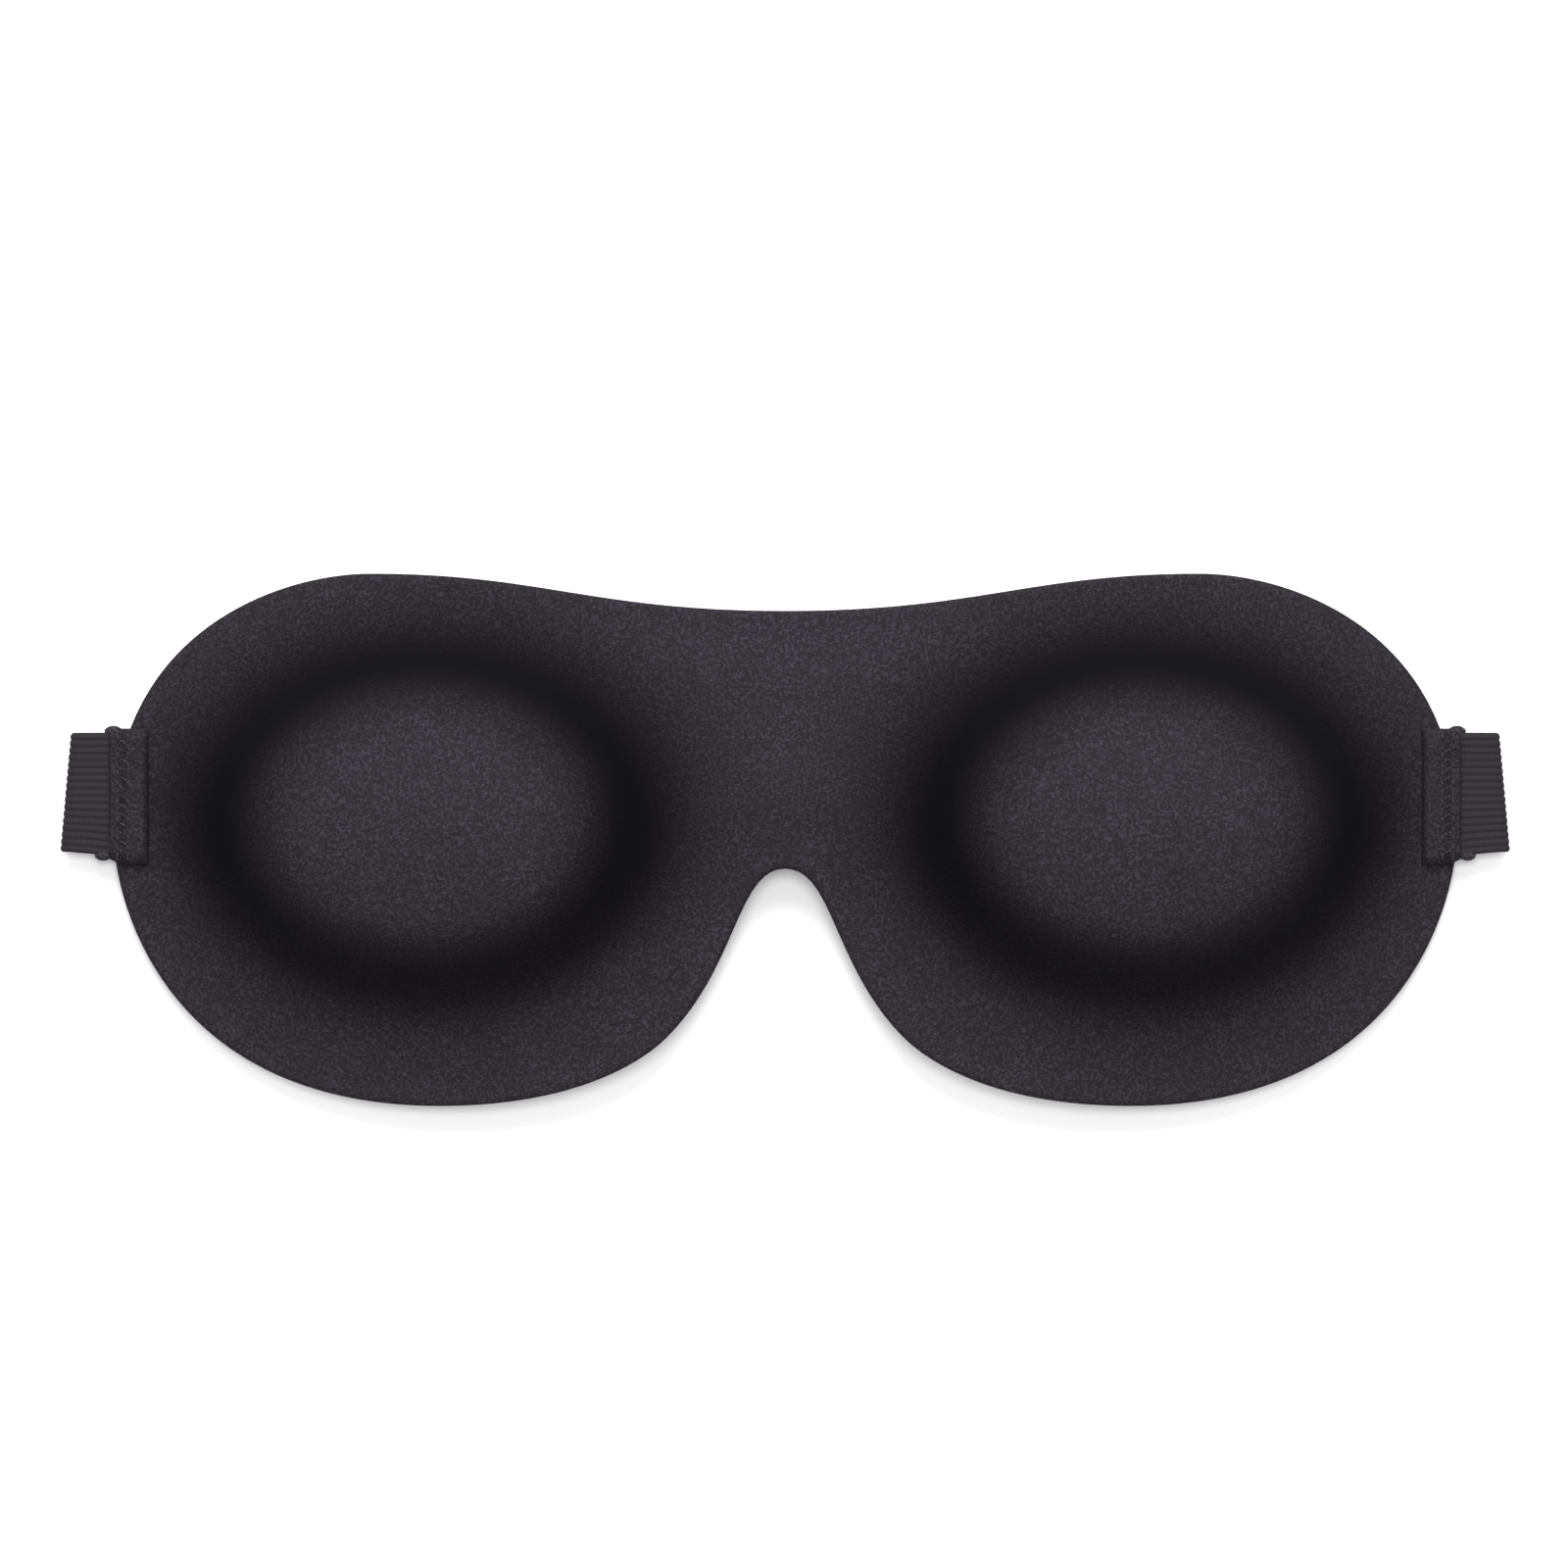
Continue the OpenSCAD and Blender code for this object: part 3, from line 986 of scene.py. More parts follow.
@dataclass
class Pad:
    """The pad: outer cover, moulded foam and lining, over one fine grid."""

    form: PadForm
    spacing: float = 1.1
    end_inset: float = 0.5
    # how far the rows near the rim, and the columns near an end, lie from it
    rim_steps: tuple[float, ...] = (0.0, 0.1, 0.25, 0.45, 0.7, 1.0, 1.4, 1.9, 2.5)
    end_steps: tuple[float, ...] = (0.0, 0.12, 0.3, 0.55, 0.85, 1.25, 1.8, 2.5, 3.4, 4.5, 5.8)
    # the foam's cut edge lies this far inside the cloths', which fades out within foam_fade
    foam_inset: float = 0.12
    foam_fade: float = 1.5
    middle_y: float = 5.0
    # how many points are measured against the outline at a time
    batch: int = 2000

    def grid(self) -> tuple[np.ndarray, np.ndarray]:
        """Lay out columns across the face and rows up it, closest together along the outline.

        Returns:
            X and Y, by column and row.
        """
        outline = self.form.outline
        upper, lower = outline.upper(), outline.lower()
        end_x = outline.half_width - self.end_inset
        inner = end_x - self.end_steps[-1] - self.spacing
        middle = np.linspace(0.0, inner, round(inner / self.spacing))
        half = np.concatenate([middle, end_x - np.array(self.end_steps)[::-1]])
        columns = np.concatenate([-half[:0:-1], half])
        top = np.interp(np.abs(columns), upper[:, 0], upper[:, 1])
        bottom = np.interp(np.abs(columns), lower[:, 0], lower[:, 1])
        tall = (top - bottom)[:, None]
        rim = np.array(self.rim_steps)[None, :] / tall
        inside = np.linspace(0.0, 1.0, round(float(tall.max()) / self.spacing))[None, 1:-1]
        last = rim[:, -1:]
        share = np.concatenate([rim, last + (1 - 2 * last) * inside, 1 - rim[:, ::-1]], axis=1)
        y = bottom[:, None] + tall * share
        reach = np.clip(1 - (end_x - np.abs(columns)) / self.end_steps[-1], 0.0, 1.0) ** 2
        bulge = 4 * self.end_inset * share * (1 - share) * (reach * np.sign(columns))[:, None]
        return columns[:, None] + bulge, y

    def edge_distance(self, x: np.ndarray, y: np.ndarray) -> tuple[np.ndarray, np.ndarray]:
        """Measure each point's distance from the outline, and the way to it.

        Args:
            x: X, by column and row.
            y: Y, by column and row.

        Returns:
            The distances, and the unit vectors towards the outline.
        """
        loop = self.form.outline.loop()
        points = np.stack([x.ravel(), y.ravel()], axis=1)
        nearest = np.empty_like(points)
        for start in range(0, len(points), self.batch):
            part = points[start : start + self.batch]
            gap = ((part[:, None, :] - loop[None, :, :]) ** 2).sum(axis=2)
            nearest[start : start + self.batch] = loop[gap.argmin(axis=1)]
        way = nearest - points
        distance = np.linalg.norm(way, axis=1)
        way /= distance[:, None] + 1e-9
        rim = np.ones(x.shape, bool)
        rim[1:-1, 1:-1] = False
        distance = distance.reshape(x.shape)
        distance[rim] = 0.0
        return distance, way.reshape((*x.shape, 2))

    def build(self) -> dict[str, Piece]:
        """Build the three layers.

        Returns:
            The pieces by name.
        """
        x, y = self.grid()
        edge, way = self.edge_distance(x, y)
        back, lining_top, cover_under, front = self.form.surfaces(x, y, edge)
        cover = MeshBuffer().layer(x, y, cover_under, front).make("outer_cover_moulded")
        # painted shade: a dark ring round each cup's wall, for the cloth's colour
        store(cover, "wall", np.tile(self.form.painted_shade(x, y).ravel(), 2))
        pull = self.foam_inset * np.clip(1 - edge / self.foam_fade, 0.0, 1.0)
        outward = np.stack([x, y - self.middle_y], axis=-1)
        outward /= np.linalg.norm(outward, axis=-1)[..., None] + 1e-9
        out_x, out_y = np.moveaxis(np.where(edge[..., None] <= 0.0, outward, way), -1, 0)
        foam = MeshBuffer().layer(x - out_x * pull, y - out_y * pull, lining_top, cover_under)
        lining = MeshBuffer().layer(x, y, back, lining_top)
        return {
            "cover": cover,
            "foam": foam.make("foam_core_moulded"),
            "lining": lining.make("inner_lining_moulded"),
        }

    def dress(self, pieces: dict[str, Piece], knit: Material) -> None:
        """Give the layers their cloth and foam, and set them in the frame.

        Args:
            pieces: what build() returned.
            knit: the cover's material.
        """
        paint(pieces["cover"], knit)
        paint(pieces["foam"], MouldedFoam().make())
        paint(pieces["lining"], TricotLining().make())
        for piece in pieces.values():
            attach(piece, Body.MASK.value)
        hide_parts("outer_cover")
        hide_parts("foam_pad")
        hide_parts("inner_cover")
        flat, area = self.form.outline.flat_cut()
        LOG.info("pad: cover, foam and lining, %d points a layer", len(pieces["cover"].data.vertices))


# ---- straps --------------------------------------------------------------


@dataclass(frozen=True)
class StrapSizes:
    """Sizes of the elastic and of its route through the fold, in millimetres."""

    width: float
    middle_y: float
    stub_in_x: float
    fold_in_x: float
    fold_x: float
    tip_x: float
    run_z: float
    stub_z: float
    lean: float
    thickness: float = 1.2
    rib_count: int = 17
    rib_depth: float = 0.18
    # how much wider the lower edge is pulled at the sewn end, and how soon that ends
    flare: float = 1.3
    flare_len: float = 11.0
    hem_len: float = 12.0

    @property
    def fold_r(self) -> float:
        """Radius of the fold's middle line."""
        return (self.stub_z - self.run_z) / 2

    @property
    def fold_z(self) -> float:
        """Height of the fold's centre."""
        return (self.stub_z + self.run_z) / 2

    @staticmethod
    def from_frame() -> "StrapSizes":
        """Read the sizes from the CAD nodes.

        Returns:
            The sizes.
        """
        stub_low, stub_high = box_mm("strap_stub_right")
        run_low, run_high = box_mm("strap_left")
        fold_low, fold_high = box_mm("strap_fold_right")
        joint = next(j for j in frame["joints"] if j["name"] == "right_strap_swing")
        axis_x = joint["pos_m"][0] / MM
        run_z = (run_low[2] + run_high[2]) / 2
        stub_z = (stub_low[2] + stub_high[2]) / 2
        outer_r = (stub_z - run_z) / 2 + (stub_high[2] - stub_low[2]) / 2
        return StrapSizes(
            width=stub_high[1] - stub_low[1],
            middle_y=(stub_high[1] + stub_low[1]) / 2,
            stub_in_x=stub_low[0],
            fold_in_x=fold_low[0],
            fold_x=axis_x,
            tip_x=-run_high[0],
            run_z=run_z,
            stub_z=stub_z,
            lean=2 * (fold_high[0] - axis_x - outer_r),
        )


# a step of a strap's middle line: X, Z, the outward way's X and Z, and the share of the lean
RouteStep = tuple[float, float, float, float, float]


@dataclass
class ElasticStrap:
    """One ribbed elastic strap: sewn-in stub, fold, return run and, on the right, a hemmed tip."""

    side: Side
    sizes: StrapSizes
    rib_samples: int = 6
    step: float = 1.5
    stub_steps: int = 8
    ease_steps: int = 4
    arc_steps: int = 16
    hem_steps: int = 8
    # how sharp the grooves between ribs are, and how thin and wide the selvedge is
    rib_power: float = 0.7
    selvedge_share: float = 0.45
    selvedge_w: float = 0.5

    def route(self) -> np.ndarray:
        """Lay the middle line out, from the sewn-in end to the tip.

        Returns:
            Its steps, one a row.
        """
        s = self.sizes
        stub = [
            (x, s.stub_z, 0.0, 1.0, 0.0)
            for x in np.linspace(s.stub_in_x, s.fold_in_x, self.stub_steps + 1)[:-1]
        ]
        reach = np.linspace(0.0, 1.0, self.ease_steps + 1)
        above = [
            (s.fold_in_x + (s.fold_x - s.fold_in_x) * t, s.stub_z, 0.0, 1.0, t)
            for t in reach[:-1]
        ]
        turn = [
            (s.fold_x + s.fold_r * math.cos(a), s.fold_z + s.fold_r * math.sin(a),
             math.cos(a), math.sin(a), 1.0)
            for a in np.linspace(math.pi / 2, -math.pi / 2, self.arc_steps + 1)
        ]
        below = [
            (s.fold_in_x + (s.fold_x - s.fold_in_x) * t, s.run_z, 0.0, -1.0, t)
            for t in reach[::-1][1:]
        ]
        hemmed = self.side is Side.RIGHT
        tip = s.tip_x + (s.thickness / 2 if hemmed else 0.0)
        count = round((s.fold_in_x - tip) / self.step)
        run = [
            (x, s.run_z, 0.0, -1.0, 0.0)
            for x in np.linspace(s.fold_in_x, tip, count + 1)[1:]
        ]
        rows = stub + above + turn + below + run
        return np.array(rows + self.hem(tip) if hemmed else rows)

    def hem(self, tip: float) -> list[RouteStep]:
        """Turn the tip back on its outer face.

        Args:
            tip: X at which the turn begins.

        Returns:
            The rest of the route.
        """
        s = self.sizes
        radius = s.thickness / 2
        centre_z = s.run_z - radius
        turn = [
            (tip + radius * math.cos(a), centre_z + radius * math.sin(a),
             -math.cos(a), -math.sin(a), 0.0)
            for a in np.linspace(math.pi / 2, math.pi * 3 / 2, self.hem_steps + 1)[1:]
        ]
        back = [
            (x, centre_z - radius, 0.0, 1.0, 0.0)
            for x in np.linspace(tip, s.tip_x + s.hem_len, self.hem_steps + 1)[1:]
        ]
        return turn + back

    def section(self) -> tuple[np.ndarray, np.ndarray, np.ndarray]:
        """Cut across the elastic.

        Returns:
            The place across, the half thickness and the rib's height share, point by point.
        """
        s = self.sizes
        v = np.linspace(0.0, 1.0, s.rib_count * self.rib_samples + 1)
        rib = np.abs(np.sin(math.pi * v * s.rib_count)) ** self.rib_power
        half = s.thickness / 2 - s.rib_depth * (1.0 - rib)
        selvedge = np.sqrt(np.clip(np.minimum(v, 1.0 - v) * s.width / self.selvedge_w, 0.0, 1.0))
        half = half * (self.selvedge_share + (1.0 - self.selvedge_share) * selvedge)
        return (v - 0.5) * s.width, half, rib

    def build(self) -> Piece:
        """Build the strap as one closed piece of elastic.

        Returns:
            The strap.
        """
        s = self.sizes
        route = self.route()
        across, half, rib = self.section()
        steps = np.linalg.norm(np.diff(route[:, :2], axis=0), axis=1)
        along = np.concatenate([[0.0], np.cumsum(steps)])
        flare = s.flare * np.clip(1.0 - along / s.flare_len, 0.0, 1.0)
        lower = np.where(across < 0.0, across / (s.width / 2), 0.0)
        y = s.middle_y + across[None, :] + flare[:, None] * lower[None, :]
        lean = -s.lean * (y - s.middle_y) / s.width
        outer, inner = (
            np.stack([
                route[:, 0:1] + face * route[:, 2:3] * half + route[:, 4:5] * lean,
                y,
                route[:, 1:2] + face * route[:, 3:4] * half,
            ], axis=-1)
            for face in (1.0, -1.0)
        )
        n, m = len(route), len(across)
        size = 2 * m
        last = (n - 1) * size
        start = [(k, size - 1 - k, size - 2 - k, k + 1) for k in range(m - 1)]
        end = [
            (last + k, last + k + 1, last + size - 2 - k, last + size - 1 - k)
            for k in range(m - 1)
        ]
        buffer = MeshBuffer()
        ring = np.concatenate([outer, inner[:, ::-1]], axis=1)
        buffer.add(ring.reshape(-1, 3), sleeve_faces(n, size) + start + end)
        piece = buffer.on_side(self.side).make(f"elastic_strap_{self.side.name.lower()}")
        store(piece, "across_mm", np.tile(np.concatenate([across, across[::-1]]), n))
        store(piece, "along_mm", np.repeat(along, size))
        store(piece, "rib", np.tile(np.concatenate([rib, rib[::-1]]), n))
        return piece

    def dress(self, piece: Piece, elastic: Material) -> None:
        """Give the strap its elastic, bake its place into its points, and hide the CAD strap pieces.

        Args:
            piece: what build() returned.
            elastic: its material.
        """
        name = self.side.name.lower()
        paint(piece, elastic)
        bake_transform(piece)
        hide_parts(f"strap_stub_{name}", f"strap_fold_{name}", f"strap_{name}")
        LOG.info("%s strap: %d points", name, len(piece.data.vertices))


# ---- side tabs -----------------------------------------------------------


@dataclass(frozen=True)
class BarTack:
    """Where the thread is wound up at a row's end, beside the tab's upper or lower edge."""

    x: float
    above_edge: float
    below_top: float
    size: float


@dataclass
class SideTab:
    """A tab of the cover's cloth over the strap's root, with its two rows of stitches."""

    side: Side
    form: PadForm
    strap: StrapSizes
    # the grid: how far its lines near an edge lie from it, and how many lie between
    edge_steps: tuple[float, ...] = (0.0, 0.08, 0.2, 0.36, 0.56, 0.8, 1.1)
    lines: tuple[int, int] = (17, 84)
    # the hem's rounding: on the inner edge, at the two ends, and on the outer edge, whose
    # foot stands at outer_share of the tab's height
    edge_r: float = 1.2
    end_r: float = 2.64
    outer_r: float = 0.6
    outer_share: float = 0.55
    thin: float = 0.25
    clear: float = 0.02
    slot_gap: float = 0.2
    # the lower outer corner is pulled up, from this far across and below this height
    corner_lift: float = 1.2
    lift_from: float = 4.0
    lift_w: float = 3.3
    lift_h: float = 5.0
    # how much the tab's pressed pile darkens it, and the painted shade in its stitched groove
    pressed: float = 0.13
    groove_shade: float = 0.2
    groove_x: float = 112.0
    groove_w: float = 0.75
    groove_deep: float = 0.26
    pucker: float = 0.07
    row_xs: tuple[float, float] = (111.1, 112.9)
    stitch_len: float = 1.15
    stitch_pitch: float = 1.55
    thread_r: float = 0.2
    zigzag_r: float = 0.16
    zigzag_start: float = 0.4
    zigzag_inset: float = 0.15
    row_inset: float = 0.8
    sunk: float = 0.16
    tack_turns: int = 10
    tack_len: float = 2.8
    tack_r: tuple[float, float] = (0.85, 0.8)
    tack_thread_r: float = 0.19
    upper_tack: BarTack = BarTack(x=113.7, above_edge=-0.5, below_top=1.5, size=1.0)
    lower_tack: BarTack = BarTack(x=115.5, above_edge=1.7, below_top=1.6, size=0.9)

    def grid(self, low: np.ndarray, high: np.ndarray) -> tuple[np.ndarray, np.ndarray]:
        """Lay lines over the tab, closest together along its edges.

        Args:
            low: the tab's lowest corner.
            high: its highest corner.

        Returns:
            X and Y, by column and row.
        """
        near = np.array(self.edge_steps)
        axes = [
            np.concatenate([
                low[axis] + near,
                np.linspace(low[axis] + near[-1], high[axis] - near[-1], count)[1:-1],
                high[axis] - near[::-1],
            ])
            for axis, count in enumerate(self.lines)
        ]
        x, y = np.meshgrid(*axes, indexing="ij")
        return x, y

    def top(self, x: np.ndarray, y: np.ndarray, low: np.ndarray, high: np.ndarray,
            seat: float) -> np.ndarray:
        """Shape the tab's face: rounded hems, and a puckered groove between the stitches.

        Args:
            x: X of each point.
            y: Y of each point.
            low: the tab's lowest corner.
            high: its highest corner.
            seat: the height of the pad under it.

        Returns:
            The height of each point.
        """
        inner = np.clip((x - low[0]) / self.edge_r, 0.0, 1.0)
        ends = np.clip(np.minimum(y - low[1], high[1] - y) / self.end_r, 0.0, 1.0)
        outer = np.clip((high[0] - x) / self.outer_r, 0.0, 1.0)
        round_in, round_end, round_out = (
            np.sqrt(1.0 - (1.0 - share) ** 2) for share in (inner, ends, outer)
        )
        round_out = self.outer_share + (1.0 - self.outer_share) * round_out
        wide = np.exp(-(((x - self.groove_x) / (2 * self.groove_w)) ** 2))
        pucker = self.pucker * np.sin(2 * math.pi * y / self.stitch_pitch + x) * wide
        crest = high[2] - seat
        hemmed = seat + crest * round_in * round_end * round_out
        return hemmed - self.groove_deep * self.groove(x) + pucker

    def groove(self, x: np.ndarray) -> np.ndarray:
        """Give the depth of the stitched groove, as a share of its deepest."""
        return np.exp(-(((x - self.groove_x) / self.groove_w) ** 2))

    def build(self) -> tuple[Piece, Piece]:
        """Build the tab and its stitching.

        Returns:
            The tab and the stitching.
        """
        low, high = box_mm("side_tab_right")
        strap = self.strap
        x, y = self.grid(low, high)
        seat = self.form.end_lift + self.form.rim_t + self.clear
        top = self.top(x, y, low, high, seat)
        strap_low = strap.middle_y - strap.width / 2 - strap.flare - self.slot_gap
        strap_high = strap.middle_y + strap.width / 2 + self.slot_gap
        over_strap = (x > strap.stub_in_x - self.slot_gap) & (y > strap_low) & (y < strap_high)
        floor = np.where(over_strap, strap.stub_z + strap.thickness / 2 + self.clear, seat)
        bottom = np.minimum(floor, top - self.thin)
        across = smooth_step((x - low[0] - self.lift_from) / self.lift_w)
        y = y + self.corner_lift * across * np.clip(1.0 - (y - low[1]) / self.lift_h, 0.0, 1.0)
        tab = MeshBuffer().layer(x, y, bottom, np.maximum(top, bottom + self.thin))
        piece = tab.on_side(self.side).make(f"side_tab_cloth_{self.side.name.lower()}")
        # the pressed pile's darker tone over the whole tab, and painted shade along the stitched
        # groove
        store(piece, "wall", np.tile(self.pressed + self.groove_shade * self.groove(x), (2, 1)))
        return piece, self.stitches(low, high)

    def stitches(self, low: np.ndarray, high: np.ndarray) -> Piece:
        """Sew the tab down: two rows, a zigzag between them and a bar tack at each end.

        Args:
            low: the tab's lowest corner.
            high: its highest corner.

        Returns:
            The stitching.
        """
        thread = MeshBuffer()
        face_z = high[2] - self.sunk
        count = int((high[1] - low[1] - 2 * self.row_inset) / self.stitch_pitch)
        first = (low[1] + high[1]) / 2 - count * self.stitch_pitch / 2
        half = np.array([0.0, self.stitch_len / 2, 0.0])
        for row in self.row_xs:
            for k in range(count + 1):
                middle = np.array([row, first + k * self.stitch_pitch, face_z])
                thread.stitch(middle - half, middle + half, self.thread_r)
        left, right = self.row_xs[0] + self.zigzag_inset, self.row_xs[1] - self.zigzag_inset
        for k in range(count):
            y0 = first + k * self.stitch_pitch + self.zigzag_start
            start = np.array([left, y0, face_z])
            end = np.array([right, y0 + self.stitch_pitch / 2, face_z])
            thread.stitch(start, end, self.zigzag_r)
        for tack, edge_y in ((self.upper_tack, high[1]), (self.lower_tack, low[1])):
            centre = np.array([tack.x, edge_y + tack.above_edge, high[2] - tack.below_top])
            self.wind(thread, centre, tack.size)
        return thread.on_side(self.side).make(f"tab_stitching_{self.side.name.lower()}")

    def wind(self, thread: MeshBuffer, centre: np.ndarray, size: float) -> None:
        """Wind the thread's end into a small bar tack.

        Args:
            thread: what it is added to.
            centre: its centre.
            size: how big it is, where 1 is its full length.
        """
        t = np.linspace(0.0, 1.0, self.tack_turns * 12)
        angle = 2 * math.pi * self.tack_turns * t
        swell = size * np.sqrt(np.sin(math.pi * np.clip(t, 0.02, 0.98)))
        wide, tall = self.tack_r
        line = np.stack([
            centre[0] + (t - 0.5) * self.tack_len * size,
            centre[1] + wide * swell * np.cos(angle),
            centre[2] + tall * swell * np.sin(angle),
        ], axis=1)
        thread.tube(line, self.tack_thread_r)

    def dress(self, tab: Piece, stitching: Piece, knit: Material, thread: Material) -> None:
        """Give the tab its cloth and thread, and set both in the frame.

        Args:
            tab: the tab.
            stitching: its stitches.
            knit: the cloth.
            thread: the thread.
        """
        name = self.side.name.lower()
        paint(tab, knit)
        paint(stitching, thread)
        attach(tab, Body.MASK.value)
        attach(stitching, Body.MASK.value)
        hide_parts(f"side_tab_{name}")
        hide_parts(f"tab_stitches_{name}")
        LOG.info("%s side tab and its stitching", name)


# ---- closure -------------------------------------------------------------


class Closure(Enum):
    """The two halves of the closure."""

    HOOKS = "hook"
    LOOPS = "loop"


@dataclass
class ClosurePatch:
    """A patch of hook or loop tape at a strap's tip, with its box of stitches."""

    kind: Closure
    ground_t: float = 0.45
    # the ground's grid, its corners' radius, and how far its edge is softened
    lines: tuple[int, int] = (48, 22)
    corner: float = 1.2
    edge_w: float = 0.8
    edge_soft: float = 0.12
    # hooks: first and last place from the edge, spacing, the curl's size and its wire
    hook_ends: tuple[float, float] = (1.2, 1.0)
    hook_pitch: tuple[float, float] = (1.45, 1.3)
    hook_curl: tuple[float, float] = (0.3, 0.28)
    hook_head: float = 0.38
    hook_wire_r: float = 0.13
    # loops: the same, with the span of their half widths and how far each strays
    loop_ends: tuple[float, float] = (0.9, 0.8)
    loop_pitch: tuple[float, float] = (1.15, 1.05)
    loop_half_w: tuple[float, float] = (0.3, 0.5)
    loop_stray: float = 0.25
    loop_clear: float = 0.1
    loop_wire_r: float = 0.1
    rooted: float = 0.05
    thread_r: float = 0.2
    inset: float = 1.5
    pitch: float = 2.2
    stitch_len: float = 1.6

    @property
    def body(self) -> Body:
        """The strap that it rides on."""
        return Body.RIGHT_STRAP if self.kind is Closure.HOOKS else Body.LEFT_STRAP

    def ground(self, low: np.ndarray, high: np.ndarray, z: float) -> MeshBuffer:
        """Cut the tape's woven ground, with rounded corners and a soft edge.

        Args:
            low: the patch's lowest corner.
            high: its highest corner.
            z: the height of the ground's underside.

        Returns:
            The ground.
        """
        u, v = (np.linspace(0.0, 1.0, count) for count in self.lines)
        x, y = np.meshgrid(low[0] + (high[0] - low[0]) * u, low[1] + (high[1] - low[1]) * v,
                           indexing="ij")
        side = np.minimum(x - low[0], high[0] - x)
        pull = self.corner - np.sqrt(np.maximum(
            0.0, self.corner**2 - np.clip(self.corner - side, 0.0, self.corner) ** 2))
        middle = (low[1] + high[1]) / 2
        y = middle + (y - middle) * (1.0 - pull / (high[1] - low[1]) * 2)
        edge = np.minimum(side, np.minimum(y - y.min(), y.max() - y))
        soft = self.edge_soft * (1.0 - np.clip(edge / self.edge_w, 0.0, 1.0)) ** 2
        under = np.full_like(x, z)
        return MeshBuffer().layer(x, y, under + soft, under + self.ground_t - soft)

    @staticmethod
    def places(low: float, high: float, ends: tuple[float, float], pitch: float) -> np.ndarray:
        """Give evenly spaced places from just inside one edge to just inside the other."""
        return np.arange(low + ends[0], high - ends[1], pitch)

    def hooks(self, buffer: MeshBuffer, low: np.ndarray, high: np.ndarray, z: float) -> None:
        """Add rows of small hooks that stand on the ground.

        Args:
            buffer: what they are added to.
            low: the patch's lowest corner.
            high: its highest corner.
            z: the ground's face.
        """
        ends, (pitch_x, pitch_y) = self.hook_ends, self.hook_pitch
        wide, tall = self.hook_curl
        bend = np.linspace(-0.5 * math.pi, 0.75 * math.pi, 7)
        over = np.maximum(bend, 0.0)
        stem = (high[2] - z - self.hook_head) * np.clip(1.0 + bend / (0.5 * math.pi), 0.0, 1.0)
        for i, x in enumerate(self.places(low[0], high[0], ends, pitch_x)):
            way = 1.0 if i % 2 else -1.0
            curl = np.stack([
                way * wide * (1 - np.cos(over)), np.zeros_like(bend), stem + tall * np.sin(over),
            ], axis=1)
            for y in self.places(low[1], high[1], ends, pitch_y):
                foot = np.array([x, y, z - self.rooted])
                buffer.tube(foot + curl, self.hook_wire_r, sides=4)

    def loops(self, buffer: MeshBuffer, low: np.ndarray, high: np.ndarray, z: float) -> None:
        """Add a pile of small loops that hang below the ground.

        Args:
            buffer: what they are added to.
            low: the patch's lowest corner.
            high: its highest corner.
            z: the ground's lower face.
        """
        draw = np.random.default_rng(7)
        ends, (pitch_x, pitch_y) = self.loop_ends, self.loop_pitch
        deep = z - low[2] - self.loop_clear
        t = np.linspace(0.0, math.pi, 6)
        for x in self.places(low[0], high[0], ends, pitch_x):
            for y in self.places(low[1], high[1], ends, pitch_y):
                turn = draw.uniform(0.0, math.pi)
                wide = draw.uniform(*self.loop_half_w)
                fall = deep * draw.uniform(0.75, 1.0)
                shift = draw.uniform(-self.loop_stray, self.loop_stray, 2)
                line = np.stack([
                    x + shift[0] + wide * np.cos(t) * math.cos(turn),
                    y + shift[1] + wide * np.cos(t) * math.sin(turn),
                    z + self.rooted - fall * np.sin(t),
                ], axis=1)
                buffer.tube(line, self.loop_wire_r, sides=4)

    def box_stitches(self, low: np.ndarray, high: np.ndarray, z: float) -> MeshBuffer:
        """Sew round the patch.

        Args:
            low: the patch's lowest corner.
            high: its highest corner.
            z: the height of the face that the stitches lie on.

        Returns:
            The stitches.
        """
        thread = MeshBuffer()
        x0, x1 = low[0] + self.inset, high[0] - self.inset
        y0, y1 = low[1] + self.inset, high[1] - self.inset
        corners = [np.array(c) for c in ((x0, y0, z), (x1, y0, z), (x1, y1, z), (x0, y1, z))]
        for start, end in zip(corners, corners[1:] + corners[:1]):
            length = float(np.linalg.norm(end - start))
            way = (end - start) / length
            half = way * self.stitch_len / 2
            count = round(length / self.pitch)
            for k in range(count):
                middle = start + way * (k + 0.5) * length / count
                thread.stitch(middle - half, middle + half, self.thread_r)
        return thread

    def build(self) -> tuple[Piece, Piece]:
        """Build the patch and its stitches.

        Returns:
            The patch and the stitches.
        """
        name = self.kind.value
        low, high = box_mm(f"{name}_patch")
        if self.kind is Closure.HOOKS:
            buffer = self.ground(low, high, low[2])
            self.hooks(buffer, low, high, low[2] + self.ground_t)
            sew_z = low[2] + self.ground_t
        else:
            buffer = self.ground(low, high, high[2] - self.ground_t)
            self.loops(buffer, low, high, high[2] - self.ground_t)
            sew_z = box_mm(f"{name}_stitches")[0][2] - self.rooted
        stitching = self.box_stitches(low, high, sew_z)
        return buffer.make(f"{name}_tape"), stitching.make(f"{name}_tape_stitching")

    def dress(self, patch: Piece, stitching: Piece, thread: Material) -> None:
        """Give the patch its nylon and thread, and set both on their strap.

        Args:
            patch: the patch.
            stitching: its stitches.
            thread: the thread.
        """
        if self.kind is Closure.HOOKS:
            tape = NylonTape("moulded_nylon_hooks", "#0d0d0e", "#232224", 0.5)
        else:
            tape = NylonTape("napped_nylon_loops", "#0c0b0d", "#1f1d20", 0.9)
        paint(patch, tape.make())
        paint(stitching, thread)
        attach(patch, self.body.value)
        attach(stitching, self.body.value)
        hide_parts(f"{self.kind.value}_patch")
        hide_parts(f"{self.kind.value}_stitches")
        LOG.info("%s tape and its stitching", self.kind.value)


# ---- studio --------------------------------------------------------------


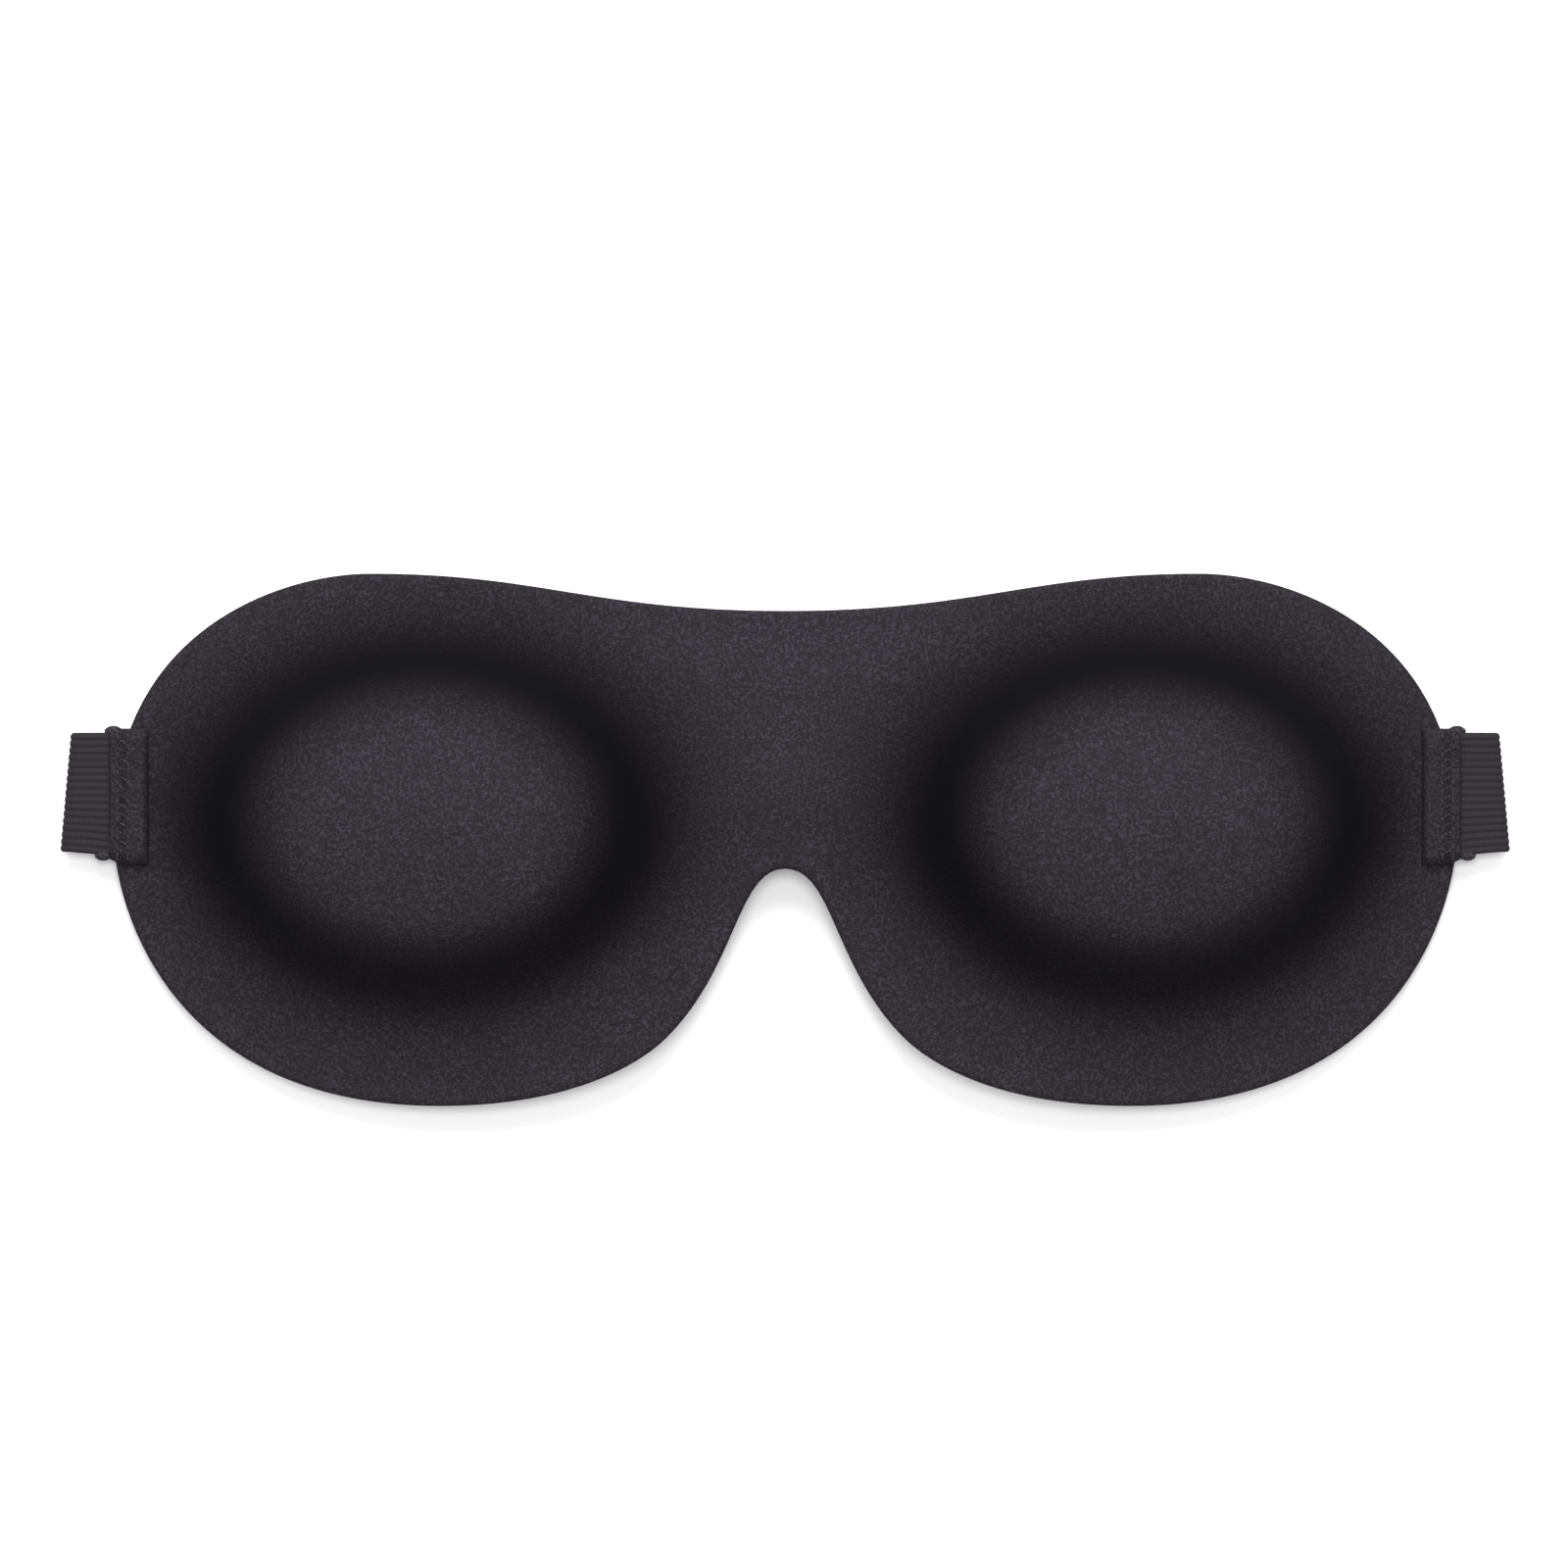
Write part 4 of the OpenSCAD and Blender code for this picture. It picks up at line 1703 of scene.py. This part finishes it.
@dataclass(frozen=True)
class Studio:
    """A plain white table, soft lights and the camera that looks straight down."""

    view_width: float = 266.7
    centre: tuple[float, float] = (-0.2, 9.4)
    lens_mm: float = 150.0
    sensor_mm: float = 36.0
    table_half: float = 3000.0
    key_power: float = 10.5
    key_size: float = 0.5
    key_place: tuple[float, float, float] = (0.0, 0.1, 1.3)
    window_power: float = 23.5
    window_size: float = 0.9
    window_place: tuple[float, float, float] = (0.0, 0.95, 0.95)
    sky: float = 0.55

    def floor(self) -> None:
        """Lay the table."""
        half = self.table_half
        corners = [(-half, -half, 0.0), (half, -half, 0.0), (half, half, 0.0), (-half, half, 0.0)]
        buffer = MeshBuffer()
        buffer.add(np.array(corners), [(0, 1, 2, 3)])
        table = buffer.make("table", smooth=False)
        table.data.materials.append(PaintedTable().make())

    def softbox(self, name: str, power: float, size: float,
                place: tuple[float, float, float]) -> None:
        """Hang a round soft light that points at the mask.

        Args:
            name: its name.
            power: its power in watts.
            size: its diameter in metres.
            place: where it hangs.
        """
        data = bpy.data.lights.new(name, "AREA")
        data.shape = "DISK"
        data.size = size
        data.energy = power
        light = place_object(name, data)
        light.location = place
        light.rotation_mode = "QUATERNION"
        light.rotation_quaternion = (-Vector(place)).to_track_quat("-Z", "Y")

    def lights(self) -> None:
        """Hang a softbox overhead and a bigger one past the forehead edge, in a pale room."""
        self.softbox("key_softbox", self.key_power, self.key_size, self.key_place)
        self.softbox("window_softbox", self.window_power, self.window_size, self.window_place)
        world = bpy.data.worlds.new("pale_room")
        world.use_nodes = True
        back = world.node_tree.nodes["Background"]
        back.inputs["Color"].default_value = (1.0, 1.0, 1.0, 1.0)
        back.inputs["Strength"].default_value = self.sky
        bpy.context.scene.world = world

    def camera(self) -> None:
        """Set the camera over the mask."""
        data = bpy.data.cameras.new("camera")
        data.lens = self.lens_mm
        data.sensor_width = self.sensor_mm
        camera = place_object("camera", data)
        height = self.view_width * MM * self.lens_mm / self.sensor_mm
        camera.location = (self.centre[0] * MM, self.centre[1] * MM, height)
        bpy.context.scene.camera = camera

    def build(self) -> None:
        """Set up the table, the lights, the camera and a plain view of colours."""
        self.floor()
        self.lights()
        self.camera()
        bpy.context.scene.view_settings.view_transform = "Standard"


def main() -> None:
    """Build every piece of the mask around the frame, and the studio round it."""
    logging.basicConfig(level=logging.INFO, format="%(name)s: %(message)s")
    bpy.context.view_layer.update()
    Studio().build()
    cover_low, cover_high = box_mm("outer_cover")
    lining_low, _ = box_mm("inner_cover")
    tab_low, tab_high = box_mm("side_tab_right")
    outline = PadOutline(
        half_width=cover_high[0], brow_peak_y=cover_high[1], cheek_y=cover_low[1]
    )
    form = PadForm(
        outline, end_lift=lining_low[2], tab_low_y=tab_low[1], tab_high_y=tab_high[1]
    )
    knit = BrushedKnit().make()
    thread = SpunThread().make()
    elastic = RibbedElastic().make()
    pad = Pad(form)
    pad.dress(pad.build(), knit)
    sizes = StrapSizes.from_frame()
    for side in Side:
        strap = ElasticStrap(side, sizes)
        strap.dress(strap.build(), elastic)
        tab = SideTab(side, form, sizes)
        tab.dress(*tab.build(), knit, thread)
    for kind in Closure:
        patch = ClosurePatch(kind)
        patch.dress(*patch.build(), thread)


if __name__ == "__main__":
    main()
